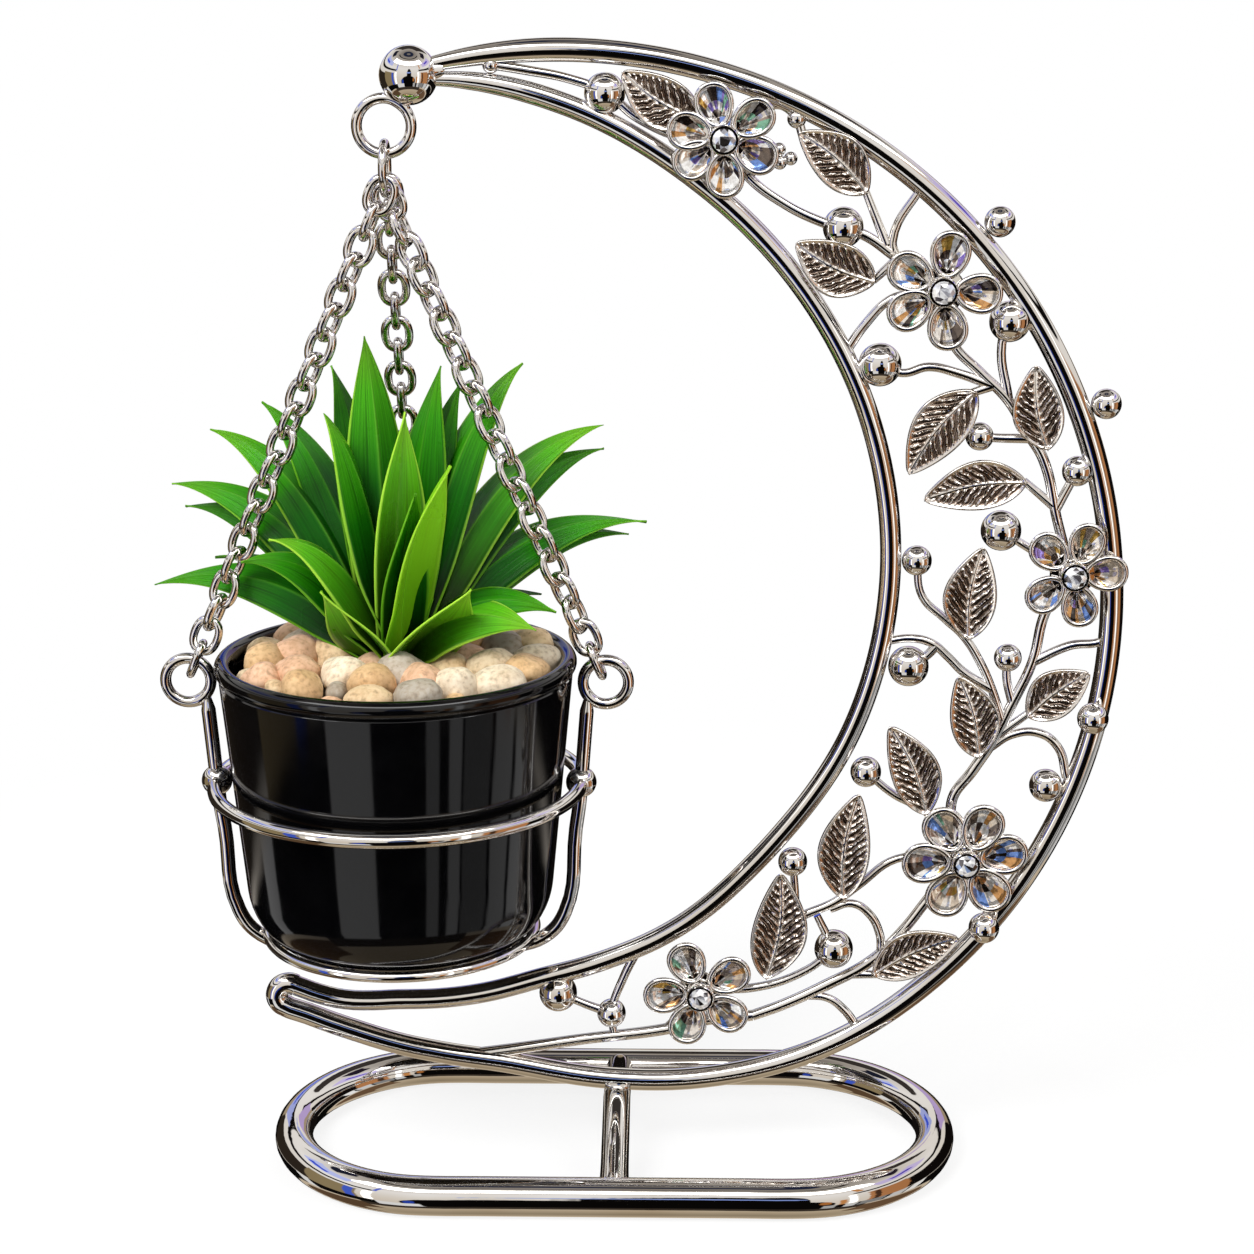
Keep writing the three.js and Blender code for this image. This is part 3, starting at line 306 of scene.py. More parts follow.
# Stem, twigs and berries of each length, by bearing and share in the crescent, and the berries' size.
vine_lengths = {
    "vine_foot": (
        [(-101, 0.93), (-95.5, 0.79), (-87.5, 0.65), (-77, 0.62), (-71, 0.62), (-66, 0.68)],
        [[(-91, 0.19), (-87, 0.34), (-83.7, 0.44)],
         [(-83.7, 0.63), (-83.7, 0.44), (-81.3, 0.18), (-78, 0)],
         [(-71, 0.4), (-74, 0.52), (-77, 0.62)]],
        [(-83.7, 0.44, 8.2), (-91, 0.19, 10.8)]),
    "vine_low": (
        [(-66, 0.68), (-62, 0.69), (-56, 0.71), (-50, 0.74), (-44.7, 0.73), (-39.6, 0.71), (-32.5, 0.71)],
        [[(-52.6, 0.58), (-57, 0.59), (-64.6, 0.53), (-71, 0.4)],
         [(-33.5, 0.68), (-37.9, 0.48), (-44.3, 0.43), (-48.2, 0.41), (-54.4, 0.35), (-57, 0.36)],
         [(-49.5, 0.42), (-46.7, 0.47), (-46, 0.56), (-46.9, 0.67), (-48.1, 0.73)],
         [(-51.5, 0.4), (-52.6, 0.58)],
         [(-50.5, 0.81), (-53.3, 0.72)],
         [(-59.1, 0.7), (-56.9, 0.77), (-56.1, 0.86), (-56, 1)],
         [(-48.9, 0.13), (-52, 0.25), (-54.4, 0.35)]],
        [(-52.6, 0.58, 11), (-48.9, 0.13, 8.2)]),
    "vine_middle": (
        [(-32.5, 0.71), (-27.4, 0.54), (-22, 0.56), (-17.7, 0.59), (-12.6, 0.62), (-6.6, 0.67),
         (-0.6, 0.7), (4.5, 0.81)],
        [[(-29.2, 0.14), (-30.2, 0.3), (-30, 0.44), (-30.8, 0.56), (-31, 0.66)],
         [(-18.7, 0.59), (-16.2, 0.66), (-15.1, 0.77), (-16.1, 0.87), (-19, 0.95)],
         [(-13.1, 0.7), (-16.8, 0.6)],
         [(-6.5, 0.56), (-9, 0.57), (-12.2, 0.62)],
         [(7.9, 0.12), (2, 0.15), (-1.6, 0.26), (-4, 0.35), (-7.4, 0.44), (-11, 0.52), (-14.8, 0.6)],
         [(-6.3, 0), (-5.1, 0.13), (-5.6, 0.22), (-7.4, 0.3), (-9.3, 0.38), (-11, 0.52)],
         [(-9.8, 0.14), (-8, 0.2), (-6, 0.24)],
         [(-1.8, 1), (-3.3, 0.97), (-4.3, 0.82), (-6.7, 0.67)]],
        [(-29.2, 0.14, 8.6), (-20.7, 0.88, 9.2), (-6.5, 0.56, 7.6), (7.9, 0.12, 8.2), (-9.8, 0.14, 11.2)]),
    "vine_high": (
        [(4.5, 0.81), (10.3, 0.77), (17.8, 0.76), (21.6, 0.72), (25.6, 0.69), (30, 0.62), (35, 0.56),
         (41, 0.66)],
        [[(38.2, 0.16), (35.4, 0.25), (34.1, 0.39), (31.5, 0.51), (27.9, 0.65)],
         [(35.4, 1), (33.4, 0.87), (31.8, 0.78), (25.6, 0.69)],
         [(23, 0.5), (22.2, 0.56), (20.5, 0.73)],
         [(15.9, 0.65), (12.2, 0.76)],
         [(15.4, 1), (15.4, 0.9), (14.1, 0.85), (11.7, 0.77)],
         [(10.4, 0.51), (7, 0.66), (4.5, 0.81)],
         [(28.5, 0.52), (28, 0.65)]],
        [(38.2, 0.16, 11.6), (33.4, 0.87, 11), (23, 0.5, 7.6), (15.4, 0.9, 8.2), (10.4, 0.51, 11)]),
    "vine_top": (
        [(41, 0.66), (47.4, 0.57), (51.7, 0.52), (56.5, 0.39), (62, 0.3), (67.3, 0.3), (71.3, 0.46)],
        [[(50.3, 1), (48.7, 0.62), (46.9, 0.57)],
         [(54.6, 0.73), (49, 0.58)],
         [(41, 0.66), (43, 0.5), (44, 0.39), (43.9, 0.21), (42.7, 0)],
         [(64.1, 0.56), (66, 0.42), (67.3, 0.3)],
         [(47.2, 0.38), (46.9, 0.57)],
         [(68, 0.88), (66.5, 0.92), (64.8, 0.88), (63.4, 0.79)]],
        [(54.2, 0.46, 10.8), (64.4, 0.53, 3.8), (63.5, 0.6, 3.6), (65.1, 0.61, 3.6), (64.8, 0.88, 5)]),
    "vine_bud": (
        [(71.3, 0.46), (75, 0.3), (81, 0.24), (85, 0.4), (89, 0.47), (93.5, 0.51), (97, 0.62)],
        [],
        [(85.1, 0.39, 10.8), (97, 0.6, 4.4)]),
}


vine_start, vine_end = vine_lengths["vine_foot"][0][0][0], vine_lengths["vine_bud"][0][-1][0]


def stem_width(bearing):
    """The stem's wires get thinner from the foot of the vine to its bud."""
    return STEM + (STEM_TOP - STEM) * (bearing - vine_start) / (vine_end - vine_start)


for name, (stem, twigs, berries) in vine_lengths.items():
    lower, upper = stem_width(stem[0][0]), stem_width(stem[-1][0])
    hand = noise.noise(Vector((stem[0][0], 3.1, 7.7))) * 6
    growth = [wire("stem", [crescent(*at) for at in stem], lower, steps=9, facets=4,
                   swell=lambda along: 1 + (upper / lower - 1) * along + 0.05 * math.sin(9 * along + hand))]
    for twig in twigs:
        growth.append(wire("twig", [crescent(*at) for at in twig], TWIG, steps=7, facets=3,
                           swell=lambda along: 0.86 + 0.2 * along))
    for bearing, share, across in berries:
        growth.append(berry(crescent(bearing, share), across))
    fitted(joined(f"{name}_wires", growth), chrome_plate, "chrome", "stand", name)

# Leaves: cast in white metal with a raised edge, a midrib and chased side veins, soldered on their
# twigs and plated. The dulled ground between the veins was left dark when the ridges were polished.
LEAF_SEAT, LEAF_CAST = 2.03, 0.8
VEIN_SPACING, EDGE_WIDTH, RIB_WIDTH = 2.3, 1.2, 0.6
EDGE_PROUD, RIB_PROUD, VEIN_PROUD, DISH_DEPTH = 0.6, 0.65, 0.7, 0.63
BACK_TONING = 0.25
# Root and tip in the crescent, and width.
leaves = [
    ((74.5, 0.51), (83.5, 0.74), 13), ((54.6, 0.73), (64, 0.8), 13), ((47.2, 0.38), (58, 0.16), 14),
    ((28.5, 0.55), (22, 0.12), 14), ((19, 0.79), (28, 0.88), 13), ((15.9, 0.65), (17.4, 0.17), 13),
    ((-4, 0.37), (8.7, 0.42), 14), ((-19.9, 0.55), (-9.8, 0.36), 13), ((-13.1, 0.7), (-7, 0.92), 13),
    ((-30, 0.46), (-20.2, 0.14), 13), ((-46.8, 0.41), (-32.8, 0.16), 14), ((-62, 0.5), (-51.5, 0.12), 15),
    ((-50.5, 0.79), (-40.6, 0.93), 13)]

# Plate over a darkened ground: bright where it stands proud, warm grey-brown and duller where the
# polishing wheel did not reach.
chased_plate, tree, where = blank("chrome_plate_chased_and_toned")
ground = node(tree, "Attribute", attribute_name="ground").outputs["Fac"]
stain = node(tree, "TexNoise", {"Vector": where, "Scale": 1 / (3 * MM), "Detail": 4})
toned = node(tree, "Math", {0: ground, 1: stain}, operation="MULTIPLY")
depth = node(tree, "MapRange", {
    "Value": toned, "From Min": 0.05, "From Max": 0.6, "To Min": 0, "To Max": 1})
dulling = node(tree, "MapRange", {"Value": depth, "To Min": 0.14, "To Max": 0.3})
hammering = node(tree, "Bump", {"Height": stain, "Strength": 0.12, "Distance": 0.15 * MM})
toning = node(tree, "ValToRGB", {"Fac": depth}, [(0, "#E8E2DB"), (0.35, "#9A8A7D"), (1, "#4C3D33")])
plate = node(tree, "BsdfPrincipled", {
    "Base Color": toning, "Metallic": 1, "Roughness": dulling, "Normal": hammering})
node(tree, "OutputMaterial", {"Surface": plate})

LEAF_ALONG, LEAF_ACROSS = 120, 56


def thickened(sheet, name, depth, offset):
    """Gives a sheet its thickness, to its back for an offset of -1 and to both sides for 0."""
    body = sheet.modifiers.new(name, "SOLIDIFY")
    body.thickness = depth * MM
    body.offset = offset


for number, (base, tip, width) in enumerate(leaves, 1):
    root, end = crescent(*base), crescent(*tip)
    along = end - root
    length = along.length / MM
    across = along.normalized().cross(Y)
    bpy.ops.mesh.primitive_grid_add(x_subdivisions=LEAF_ALONG, y_subdivisions=LEAF_ACROSS, size=2)
    blade = bpy.context.object
    hollows = []
    for corner in blade.data.vertices:
        u, v = (corner.co.x + 1) / 2, corner.co.y
        outline = math.sin(math.pi * min(1, u ** 0.82)) ** 0.82
        half = max(width / 2 * outline, 0.35)
        side = abs(v) * half
        jitter = noise.noise(Vector((u * 11, v * 4 + number * 3.7, number * 1.3)))
        squiggle = noise.noise(Vector((u * 26, v * 9 + number * 5.1, 4.4)))
        stagger = 0.4 if v > 0 else 0
        slant = (u * length - side * 1.05) / VEIN_SPACING + jitter * 0.3 + squiggle * 0.1 + stagger
        broken = min(1, max(0, 0.85 + 1.1 * noise.noise(Vector((u * 12, v * 5, number * 2.9)))))
        vein = (0.5 + 0.5 * math.cos(2 * math.pi * slant)) ** 2 * (0.4 + 0.7 * broken)
        edge = max(0, 1 - (half - side) / EDGE_WIDTH) ** 0.7 if half > 0.5 else 1
        rib = math.exp(-(side / RIB_WIDTH) ** 2) * (1 - 0.6 * u)
        field = min(1, max(0, (half - side - 0.65) / 0.6)) * min(1, max(0, (side - 0.4) / 0.45))
        dish = (1 - (side / max(half, 0.4)) ** 2) * outline
        height = EDGE_PROUD * edge + RIB_PROUD * rib + VEIN_PROUD * vein * field - DISH_DEPTH * dish
        sway = 0.06 * length * math.sin(math.pi * u) * (1 if number % 2 else -1)
        lift = 1.6 * math.sin(math.pi * u * 0.9) - 0.6 * u
        corner.co = root + along * u + across * ((v * half + sway) * MM)
        corner.co.y = base_middle.y - (LEAF_SEAT + height + lift) * MM
        hollows.append(field * (1 - min(1, 1.25 * vein)) * (1 - 0.5 * rib))
    ground = blade.data.attributes.new("ground", "FLOAT", "POINT")
    ground.data.foreach_set("value", hollows)
    merged(blade)
    if sum(face.normal.y for face in blade.data.polygons) > 0:
        reshaped(bpy.ops.mesh.flip_normals)
    thickened(blade, "cast_thickness", LEAF_CAST, -1)
    bpy.ops.object.modifier_apply(modifier="cast_thickness")
    # The back was polished all over, so it keeps little of the toning.
    for corner, toning_depth in zip(blade.data.vertices, blade.data.attributes["ground"].data):
        if corner.normal.y > 0.2:
            toning_depth.value *= BACK_TONING
    blade.name = f"leaf_blade_{number}"
    fitted(blade, chased_plate, "chrome", "stand", f"leaf_{number}")

# Flowers: each petal is a pressed cup with a rolled edge that holds a foil-backed cut crystal, and
# a round cut stone sits in a bezel in the middle. Cups and bezel are soldered to a hub on a peg.
PETAL_START, PETAL_LENGTH, PETAL_WIDTH, PETAL_PEAR = 2.9, 12.6, 10.4, 0.16
PETAL_EDGE, PETAL_DISH = 1.5, 1.6
PETAL_SCALE, PETAL_STAGGER = 1.04, 0.25
HUB, PEG, STONE, BEZEL_WALL, POST = 6.2, 5, 6.2, 0.9, 1.7
# How far in front of the crescent's middle the hub, the petals, the bezel and the stone are set.
HUB_SEAT, PETAL_SEAT, BEZEL_SEAT, STONE_SEAT = 3.6, 5.2, 6.3, 9.5
# Place in the crescent, size, and the bearings of the petals.
flowers = [
    ((71.3, 0.46), 0.95, (106, 35, -24, -88, -146, 167)), ((41, 0.66), 1, (79, -4, -80, -149, 151)),
    ((4.5, 0.81), 0.93, (137, 69, 2, -77, -142)), ((-32.5, 0.71), 1.1, (123, 66, 10, -51, -115, -177)),
    ((-71, 0.4), 1, (112, 33, -38, -110, -176))]

# Cut crystal on foil: each facet is painted with its own reflection of the room, mostly silver and
# smoky dark with a few amber, violet, green and blue glints, under a clear glassy skin.
foiled_crystal, tree, where = blank("cut_crystal_foil_backed")
# Each facet's painted reflection, veiled below by the streaks.
painted_reflection = node(tree, "Attribute", attribute_name="painted_reflection").outputs["Color"]
streaks = node(tree, "TexNoise", {"Vector": where, "Scale": 1 / (1.2 * MM), "Detail": 2})
veiling = node(tree, "ValToRGB", {"Fac": streaks}, [(0.35, "#8A8079"), (0.55, "#FFFFFF")])
painted_reflection_veiled = node(tree, "Mix", {"Factor": 0.35, 6: painted_reflection, 7: veiling}, data_type="RGBA", blend_type="MULTIPLY")
facet_wave = node(tree, "Bump", {"Height": streaks, "Strength": 0.2, "Distance": 0.1 * MM})
crystal = node(tree, "BsdfPrincipled", {
    "Base Color": painted_reflection_veiled, "Metallic": 0.7, "Roughness": 0.1, "Coat Weight": 0.6,
    "Coat Roughness": 0.02, "Normal": facet_wave})
node(tree, "OutputMaterial", {"Surface": crystal})

# Clear lead crystal, ground and polished in flat facets: each facet is painted with its own
# reflection, mostly bright with some grey, dark and blue ones.
clear_crystal, tree, where = blank("lead_crystal_facet_cut")
facet = node(tree, "Attribute", attribute_name="painted_reflection").outputs["Color"]
swirl = node(tree, "TexNoise", {"Vector": where, "Scale": 1 / (1.5 * MM), "Detail": 1})
depth = node(tree, "ValToRGB", {"Fac": swirl}, [(0.35, "#A6A4AA"), (0.6, "#FFFFFF")])
painted_fire = node(tree, "Mix", {"Factor": 0.5, 6: facet, 7: depth}, data_type="RGBA", blend_type="MULTIPLY")
crystal = node(tree, "BsdfPrincipled", {
    "Base Color": painted_fire, "Metallic": 0.4, "Roughness": 0.05, "IOR": 1.62, "Coat Weight": 1,
    "Coat Roughness": 0.01})
node(tree, "OutputMaterial", {"Surface": crystal})


def turned(name, profile, steps=48, at=(0, 0, 0)):
    """A turned piece from (radius, height) points in millimetres, upright at a place."""
    _, run = drawn(name, "POLY")
    run.points.add(len(profile) - 1)
    for corner, (radius, height) in zip(run.points, profile):
        corner.co = (radius * MM, 0, height * MM, 1)
    bpy.ops.object.convert(target="MESH")
    lathe = bpy.context.object.modifiers.new("lathe", "SCREW")
    lathe.steps = lathe.render_steps = steps
    lathe.use_merge_vertices = True
    lathe.merge_threshold = 1e-6
    bpy.ops.object.modifier_apply(modifier=lathe.name)
    made = merged(bpy.context.object)
    made.data.transform(Matrix.Translation(at))
    return made


def petal_outline(count, inset):
    """Points round a petal in millimetres, outwards along x from the middle of its flower."""
    points = []
    for i in range(count):
        turn = 2 * math.pi * i / count
        width = math.sin(turn) * (1 + PETAL_PEAR * math.cos(turn))
        points.append(Vector((PETAL_START + PETAL_LENGTH / 2 + math.cos(turn) * (PETAL_LENGTH / 2 - inset),
                              width * (PETAL_WIDTH / 2 - inset), 0)))
    return points


def built(name, corners, faces):
    """A mesh from its corners and faces, as the active piece."""
    mesh = bpy.data.meshes.new(name)
    mesh.from_pydata(corners, [], faces)
    piece = bpy.data.objects.new(name, mesh)
    bpy.context.scene.collection.objects.link(piece)
    bpy.ops.object.select_all(action="DESELECT")
    piece.select_set(True)
    bpy.context.view_layer.objects.active = piece
    return piece


def petal_cup(name, inset, drop, pleat, count, shares):
    """A dished petal, drawn from a point near its foot out to its edge, with pleats along it."""
    rim = petal_outline(count, inset)
    heart = X * (PETAL_START + 1.3 + inset)
    corners, faces = [heart - Z * (drop + 0.15)], []
    for share in shares:
        for i, edge in enumerate(rim):
            at = heart.lerp(edge, share)
            dish = PETAL_DISH * math.sin(math.pi * min(1, 0.18 + 0.82 * share)) ** 0.8
            fold = pleat * math.cos(math.pi * i / 2) * math.sin(math.pi * share ** 1.5)
            corners.append(at + Z * (fold - drop - dish))
    for ring in range(len(shares)):
        for i in range(count):
            a, b = 1 + ring * count + i, 1 + ring * count + (i + 1) % count
            faces.append((0, a, b) if ring == 0 else (a, b, b - count, a - count))
    return merged(built(name, [corner * MM for corner in corners], faces))


def copied(piece, matrix):
    """A copy of a piece with its own mesh, moved by a matrix."""
    twin = piece.copy()
    twin.data = piece.data.copy()
    twin.data.transform(matrix)
    bpy.context.scene.collection.objects.link(twin)
    return twin


def paint_reflections(piece, colour_of):
    """Gives each face of a crystal the painted reflection for its number."""
    glints = piece.data.color_attributes.new("painted_reflection", "FLOAT_COLOR", "CORNER")
    for face in piece.data.polygons:
        colour = linear(colour_of(face.index))
        for corner in face.loop_indices:
            glints.data[corner].color = colour


petal_edge = wire("petal_edge", [p * MM for p in petal_outline(20, PETAL_EDGE / 2)], PETAL_EDGE,
                  closed=True, steps=2, facets=3)
petal_back = petal_cup("petal_back", 0.5, 0.45, 0, 24, (0.35, 0.7, 0.9, 1))
petal_back.data.flip_normals()
FOIL, FOIL_WEDGES, FOIL_RINGS = 0.25, 32, (0.3, 0.55, 0.8, 1)
petal_foil = petal_cup("petal_foil", 0.8, 0.1, 0.12, FOIL_WEDGES, FOIL_RINGS)
thickened(petal_foil, "cut", FOIL, -1)
inside, outside = STONE / 2, STONE / 2 + BEZEL_WALL
bezel = turned("bezel", [
    (0, -0.6), (POST, -0.6), (POST, 0.1), (outside - 0.3, 0.2), (outside, 0.7), (outside, 2.9),
    (outside - 0.35, 3.25), (inside - 0.15, 3.25), (inside - 0.4, 2.9), (inside - 0.6, 0.9), (0, 0.9)])
hub = turned("hub", [
    (0, -2.4), (PEG / 2, -2.4), (PEG / 2, -0.2), (HUB - 0.5, 0), (HUB, 0.5), (HUB - 0.4, 1.1),
    (POST, 1.6), (POST, 3.4), (0, 3.4)])
stone_corners = [Vector((0, 0, -0.62))]
for count, reach, height, start in (
        (8, 0.5, 0.4, 0), (8, 0.78, 0.27, 22.5), (16, 0.99, 0.06, 0), (16, 0.99, 0, 0), (8, 0.52, -0.36, 0)):
    for i in range(count):
        turn = math.radians(start + 360 * i / count)
        stone_corners.append(Vector((reach * math.cos(turn), reach * math.sin(turn), height)))
stone = built("stone", [corner * (inside * MM) for corner in stone_corners], [])
reshaped(bpy.ops.mesh.convex_hull)
bpy.ops.object.shade_flat()

# Painted reflections in streaks from the foot of a petal: dark by the foot, silver and cream further out.
FOOT_REFLECTIONS = ["#241C18", "#3A2F29", "#5A4D44", "#8E8178", "#C9BEB2", "#FFFFFF", "#B9824F"]
PETAL_REFLECTIONS = ["#FFFFFF"] * 4 + ["#EFE9E2"] * 3 + ["#D3C4B2"] * 3 + ["#A3948A"] * 2 + [
    "#6A5D54", "#4A3E38", "#2E2520", "#D09A5E", "#C7A04E", "#8C78C4", "#7FB59A", "#6E92D8"]
# Painted reflections for the facets of the cut stones.
STONE_REFLECTIONS = ["#FFFFFF"] * 5 + ["#E4E6EC", "#B4B4BC", "#5E5A5E", "#2C2826", "#9FB4DC"]
dice = random.Random(7)
facing = Matrix.Rotation(math.radians(90), 4, "X")
for number, (at, size, bearings) in enumerate(flowers, 1):
    back, front, cup, top = (Matrix.Translation(crescent(*at) - Y * seat * MM) @ facing
                             for seat in (HUB_SEAT, PETAL_SEAT, BEZEL_SEAT, STONE_SEAT))
    metal, foils = [], []
    for i, bearing in enumerate(bearings):
        turn = front @ Matrix.Translation(Z * (PETAL_STAGGER * MM if i % 2 else 0))
        turn = turn @ Matrix.Rotation(math.radians(bearing), 4, "Z") @ Matrix.Scale(size * PETAL_SCALE, 4)
        metal += [copied(petal_edge, turn), copied(petal_back, turn)]
        foil_copy = copied(petal_foil, turn)
        # Each wedge of foil gets painted reflections: dark at the foot, lighter further out.
        streaks = []
        while len(streaks) < FOIL_WEDGES:
            streaks += [(dice.choice(FOOT_REFLECTIONS), dice.choice(PETAL_REFLECTIONS), dice.choice(PETAL_REFLECTIONS))] * dice.randint(1, 4)
        paint_reflections(foil_copy, lambda face: streaks[face % FOIL_WEDGES][min(2, face // FOIL_WEDGES)])
        foils.append(foil_copy)
    metal += [copied(bezel, cup), copied(hub, back)]
    setting = joined(f"flower_frame_{number}", metal)
    fitted(setting, chrome_plate, "chrome", "stand", f"flower_{number}_setting")
    petals = joined(f"flower_crystals_{number}", foils)
    bpy.ops.object.modifier_apply(modifier="cut")
    fitted(petals, foiled_crystal, "crystal", "stand", f"flower_{number}_petals")
    jewel = copied(stone, top)
    jewel.name = f"flower_jewel_{number}"
    paint_reflections(jewel, lambda face: dice.choice(STONE_REFLECTIONS))
    fitted(jewel, clear_crystal, "crystal", "stand", f"flower_{number}_stone")
for pattern in (petal_edge, petal_back, petal_foil, bezel, hub, stone):
    bpy.data.objects.remove(pattern)

# Hanging ring and hanger link: the ring is bent from wire, soldered shut and let into the finial
# ball, and the link hangs edge-on over its lowest point.
RING_WIRE, RING_RADIUS = 2.9, 7.2
HANGER_WIRE, HANGER_LENGTH, HANGER_BOW = 2.2, 13.2, 6.6


def circle(centre, radius, count, u, v, start=0):
    """Places round a circle in the plane of u and v, from a bearing in degrees."""
    turns = [math.radians(start) + 2 * math.pi * i / count for i in range(count)]
    return [centre + (u * math.cos(turn) + v * math.sin(turn)) * radius * MM for turn in turns]


def round_wire(name, centre, radius, across, u, v, seam):
    """A ring of wire in the plane of u and v, with a thickened solder seam at a bearing."""
    return wire(name, circle(centre, radius, 28, u, v, seam), across, closed=True, steps=2, facets=5,
                swell=lambda along: 1 + 0.07 * math.exp(-(min(along, 1 - along) / 0.03) ** 2))


ring_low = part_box("hanging_ring")[0]
link_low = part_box("hanger_link")[0]
pot_low, pot_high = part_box("pot")
axis = (pot_low + pot_high) / 2
ring_centre = Vector((axis.x, base_middle.y, ring_low.z + (RING_RADIUS + RING_WIRE / 2) * MM))
ring = round_wire("ring_hanging", ring_centre, RING_RADIUS, RING_WIRE, X, Z, 60)
fitted(ring, chrome_plate, "chrome", "stand", "hanging_ring")

hook_height = link_low.z + HANGER_WIRE / 2 * MM
link_centre = Vector((axis.x, base_middle.y, hook_height + HANGER_LENGTH / 2 * MM))
link = round_wire("link_hanger", link_centre, HANGER_BOW, HANGER_WIRE, Y, Z, 90)
fitted(link, chrome_plate, "chrome", "hanger", "hanger_link")

# Side rings and chains: three chains of oval wire links, each link turned a quarter from the last,
# run from the hanger link to a soldered ring on the left, the right and at the back of the basket.
SIDE_WIRE, SIDE_RADIUS = 3.3, 6.3
CHAIN_WIRE, LINK_PITCH, CHAIN_SPACING = 1.8, 7, 3.8
CHAIN_GAP, LINK_BITE, END_SLACK, CHAIN_EASE = 0.3, 0.5, 1.3, 0.3
LINK_WIRE, LINK_WIDTH, LINK_POINTS, LINK_SQUARE, REAR_CLOSED = 2.3, 9, 20, 0.85, 0.68
# The way out from the pot, the place on the hanger link, and the chain's twist in degrees.
sides = {"left": (-X, -1, 28), "right": (X, 0, 45), "rear": (Y, 1, 0)}
side_centres = {}
# The bearing of each ring's solder seam, and how much of the wire is polished away.
for name, seam, polished in (("left", -48, 0.2), ("right", -132, 0.2), ("rear", -90, 0.8)):
    low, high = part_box(f"{name}_side_ring")
    side_centres[name] = (low + high) / 2
    side_ring = round_wire(f"ring_{name}", side_centres[name], SIDE_RADIUS, SIDE_WIRE - polished, X, Z, seam)
    fitted(side_ring, chrome_plate, "chrome", "basket", f"{name}_side_ring")

for name, (out, place, twist) in sides.items():
    slot_depth = place * CHAIN_SPACING
    slot_edge = abs(slot_depth) + CHAIN_WIRE / 2
    bow_rise = HANGER_BOW - math.sqrt(HANGER_BOW ** 2 - slot_edge ** 2)
    start = Vector((axis.x, base_middle.y + slot_depth * MM, hook_height + bow_rise * MM))
    centre = side_centres[name]
    end = centre + ((start - centre) * Vector((1, 0, 1))).normalized() * SIDE_RADIUS * MM
    along = (end - start).normalized()
    over_ends = CHAIN_GAP + LINK_BITE / 2
    reach = (end - start).length / MM + HANGER_WIRE / 2 + SIDE_WIRE / 2 + 2 * over_ends + END_SLACK
    count = 2 * round(reach / LINK_PITCH / 2)
    pitch = reach / count
    first = X if out.y else along.cross(Y).normalized()
    half_length = (pitch + LINK_WIRE) / 2 - 0.1
    half_width = LINK_WIDTH / 2 - LINK_WIRE / 2
    oval = []
    for i in range(LINK_POINTS):
        turn = 2 * math.pi * i / LINK_POINTS
        over, up = (math.copysign(abs(part) ** LINK_SQUARE, part)
                    for part in (math.cos(turn), math.sin(turn)))
        oval.append(Vector((half_width * over, half_length * up, 0)) * MM)
    pattern = wire("chain_link", oval, LINK_WIRE, closed=True, steps=2, facets=3)
    links = []
    for i in range(count):
        spread = min(1, 2 * math.sin(math.pi * i / (count - 1)))
        across = first.copy()
        across.rotate(Matrix.Rotation(math.radians(90 * i + twist * spread), 3, along))
        run = CHAIN_EASE + (pitch - 2 * CHAIN_EASE / count) * (i + 0.5)
        middle = start + along * (run - HANGER_WIRE / 2 - over_ends) * MM
        face = across.cross(along)
        # The rear chain's links that lie front to back are closed up, to stay within the stand's depth.
        turn = Matrix((across * (REAR_CLOSED if out.y and i % 2 else 1), along, face)).transposed().to_4x4()
        links.append(copied(pattern, Matrix.Translation(middle) @ turn))
    bpy.data.objects.remove(pattern)
    fitted(joined(f"chain_{name}", links), chrome_plate, "chrome", "basket", f"{name}_chain")

# Pot: a thrown stoneware pot with a rounded foot, a tapered wall and a rolled lip, glazed black
# inside and out. It stands loose in the basket.
POT_RIM, POT_HEIGHT, POT_WALL, POT_CORNER, POT_TAPER = 50, 84.5, 2.6, 20, 5.5
LIP_HEIGHT, LIP_PROUD, LIP_ROLL, ROLL_TALL, BELOW_LIP = 7, 1.3, 2.3, 1.05, 5.4
rim_height = pot_high.z / MM
pot_floor = rim_height - POT_HEIGHT
taper = math.radians(POT_TAPER)
corner_height = pot_floor + POT_CORNER


def wall_radius(height):
    """The outside of the pot's wall at a height over the floor."""
    return POT_RIM - LIP_PROUD - (rim_height - LIP_HEIGHT - height) * math.tan(taper)


corner_centre = wall_radius(corner_height) - POT_CORNER / math.cos(taper)
profile = [(0, pot_floor), (corner_centre * 0.5, pot_floor)]
for i in range(15):
    turn = math.radians(-90 + (90 - POT_TAPER) * i / 14)
    profile.append((corner_centre + POT_CORNER * math.cos(turn), corner_height + POT_CORNER * math.sin(turn)))
for i in range(1, 7):
    height = corner_height + (rim_height - BELOW_LIP - corner_height) * i / 6
    profile.append((wall_radius(height), height))
# The lip is a roll of clay that stands a little proud of the wall.
for i in range(15):
    turn = math.radians(-75 + 235 * i / 14)
    profile.append((POT_RIM - LIP_ROLL * (1 - math.cos(turn)),
                    rim_height - LIP_ROLL * ROLL_TALL * (1 - math.sin(turn))))
for height in (rim_height - LIP_HEIGHT, rim_height - 2 * LIP_HEIGHT, corner_height):
    profile.append((wall_radius(height) - POT_WALL - 0.2, height))
profile += [(corner_centre, pot_floor + POT_WALL), (0, pot_floor + POT_WALL)]

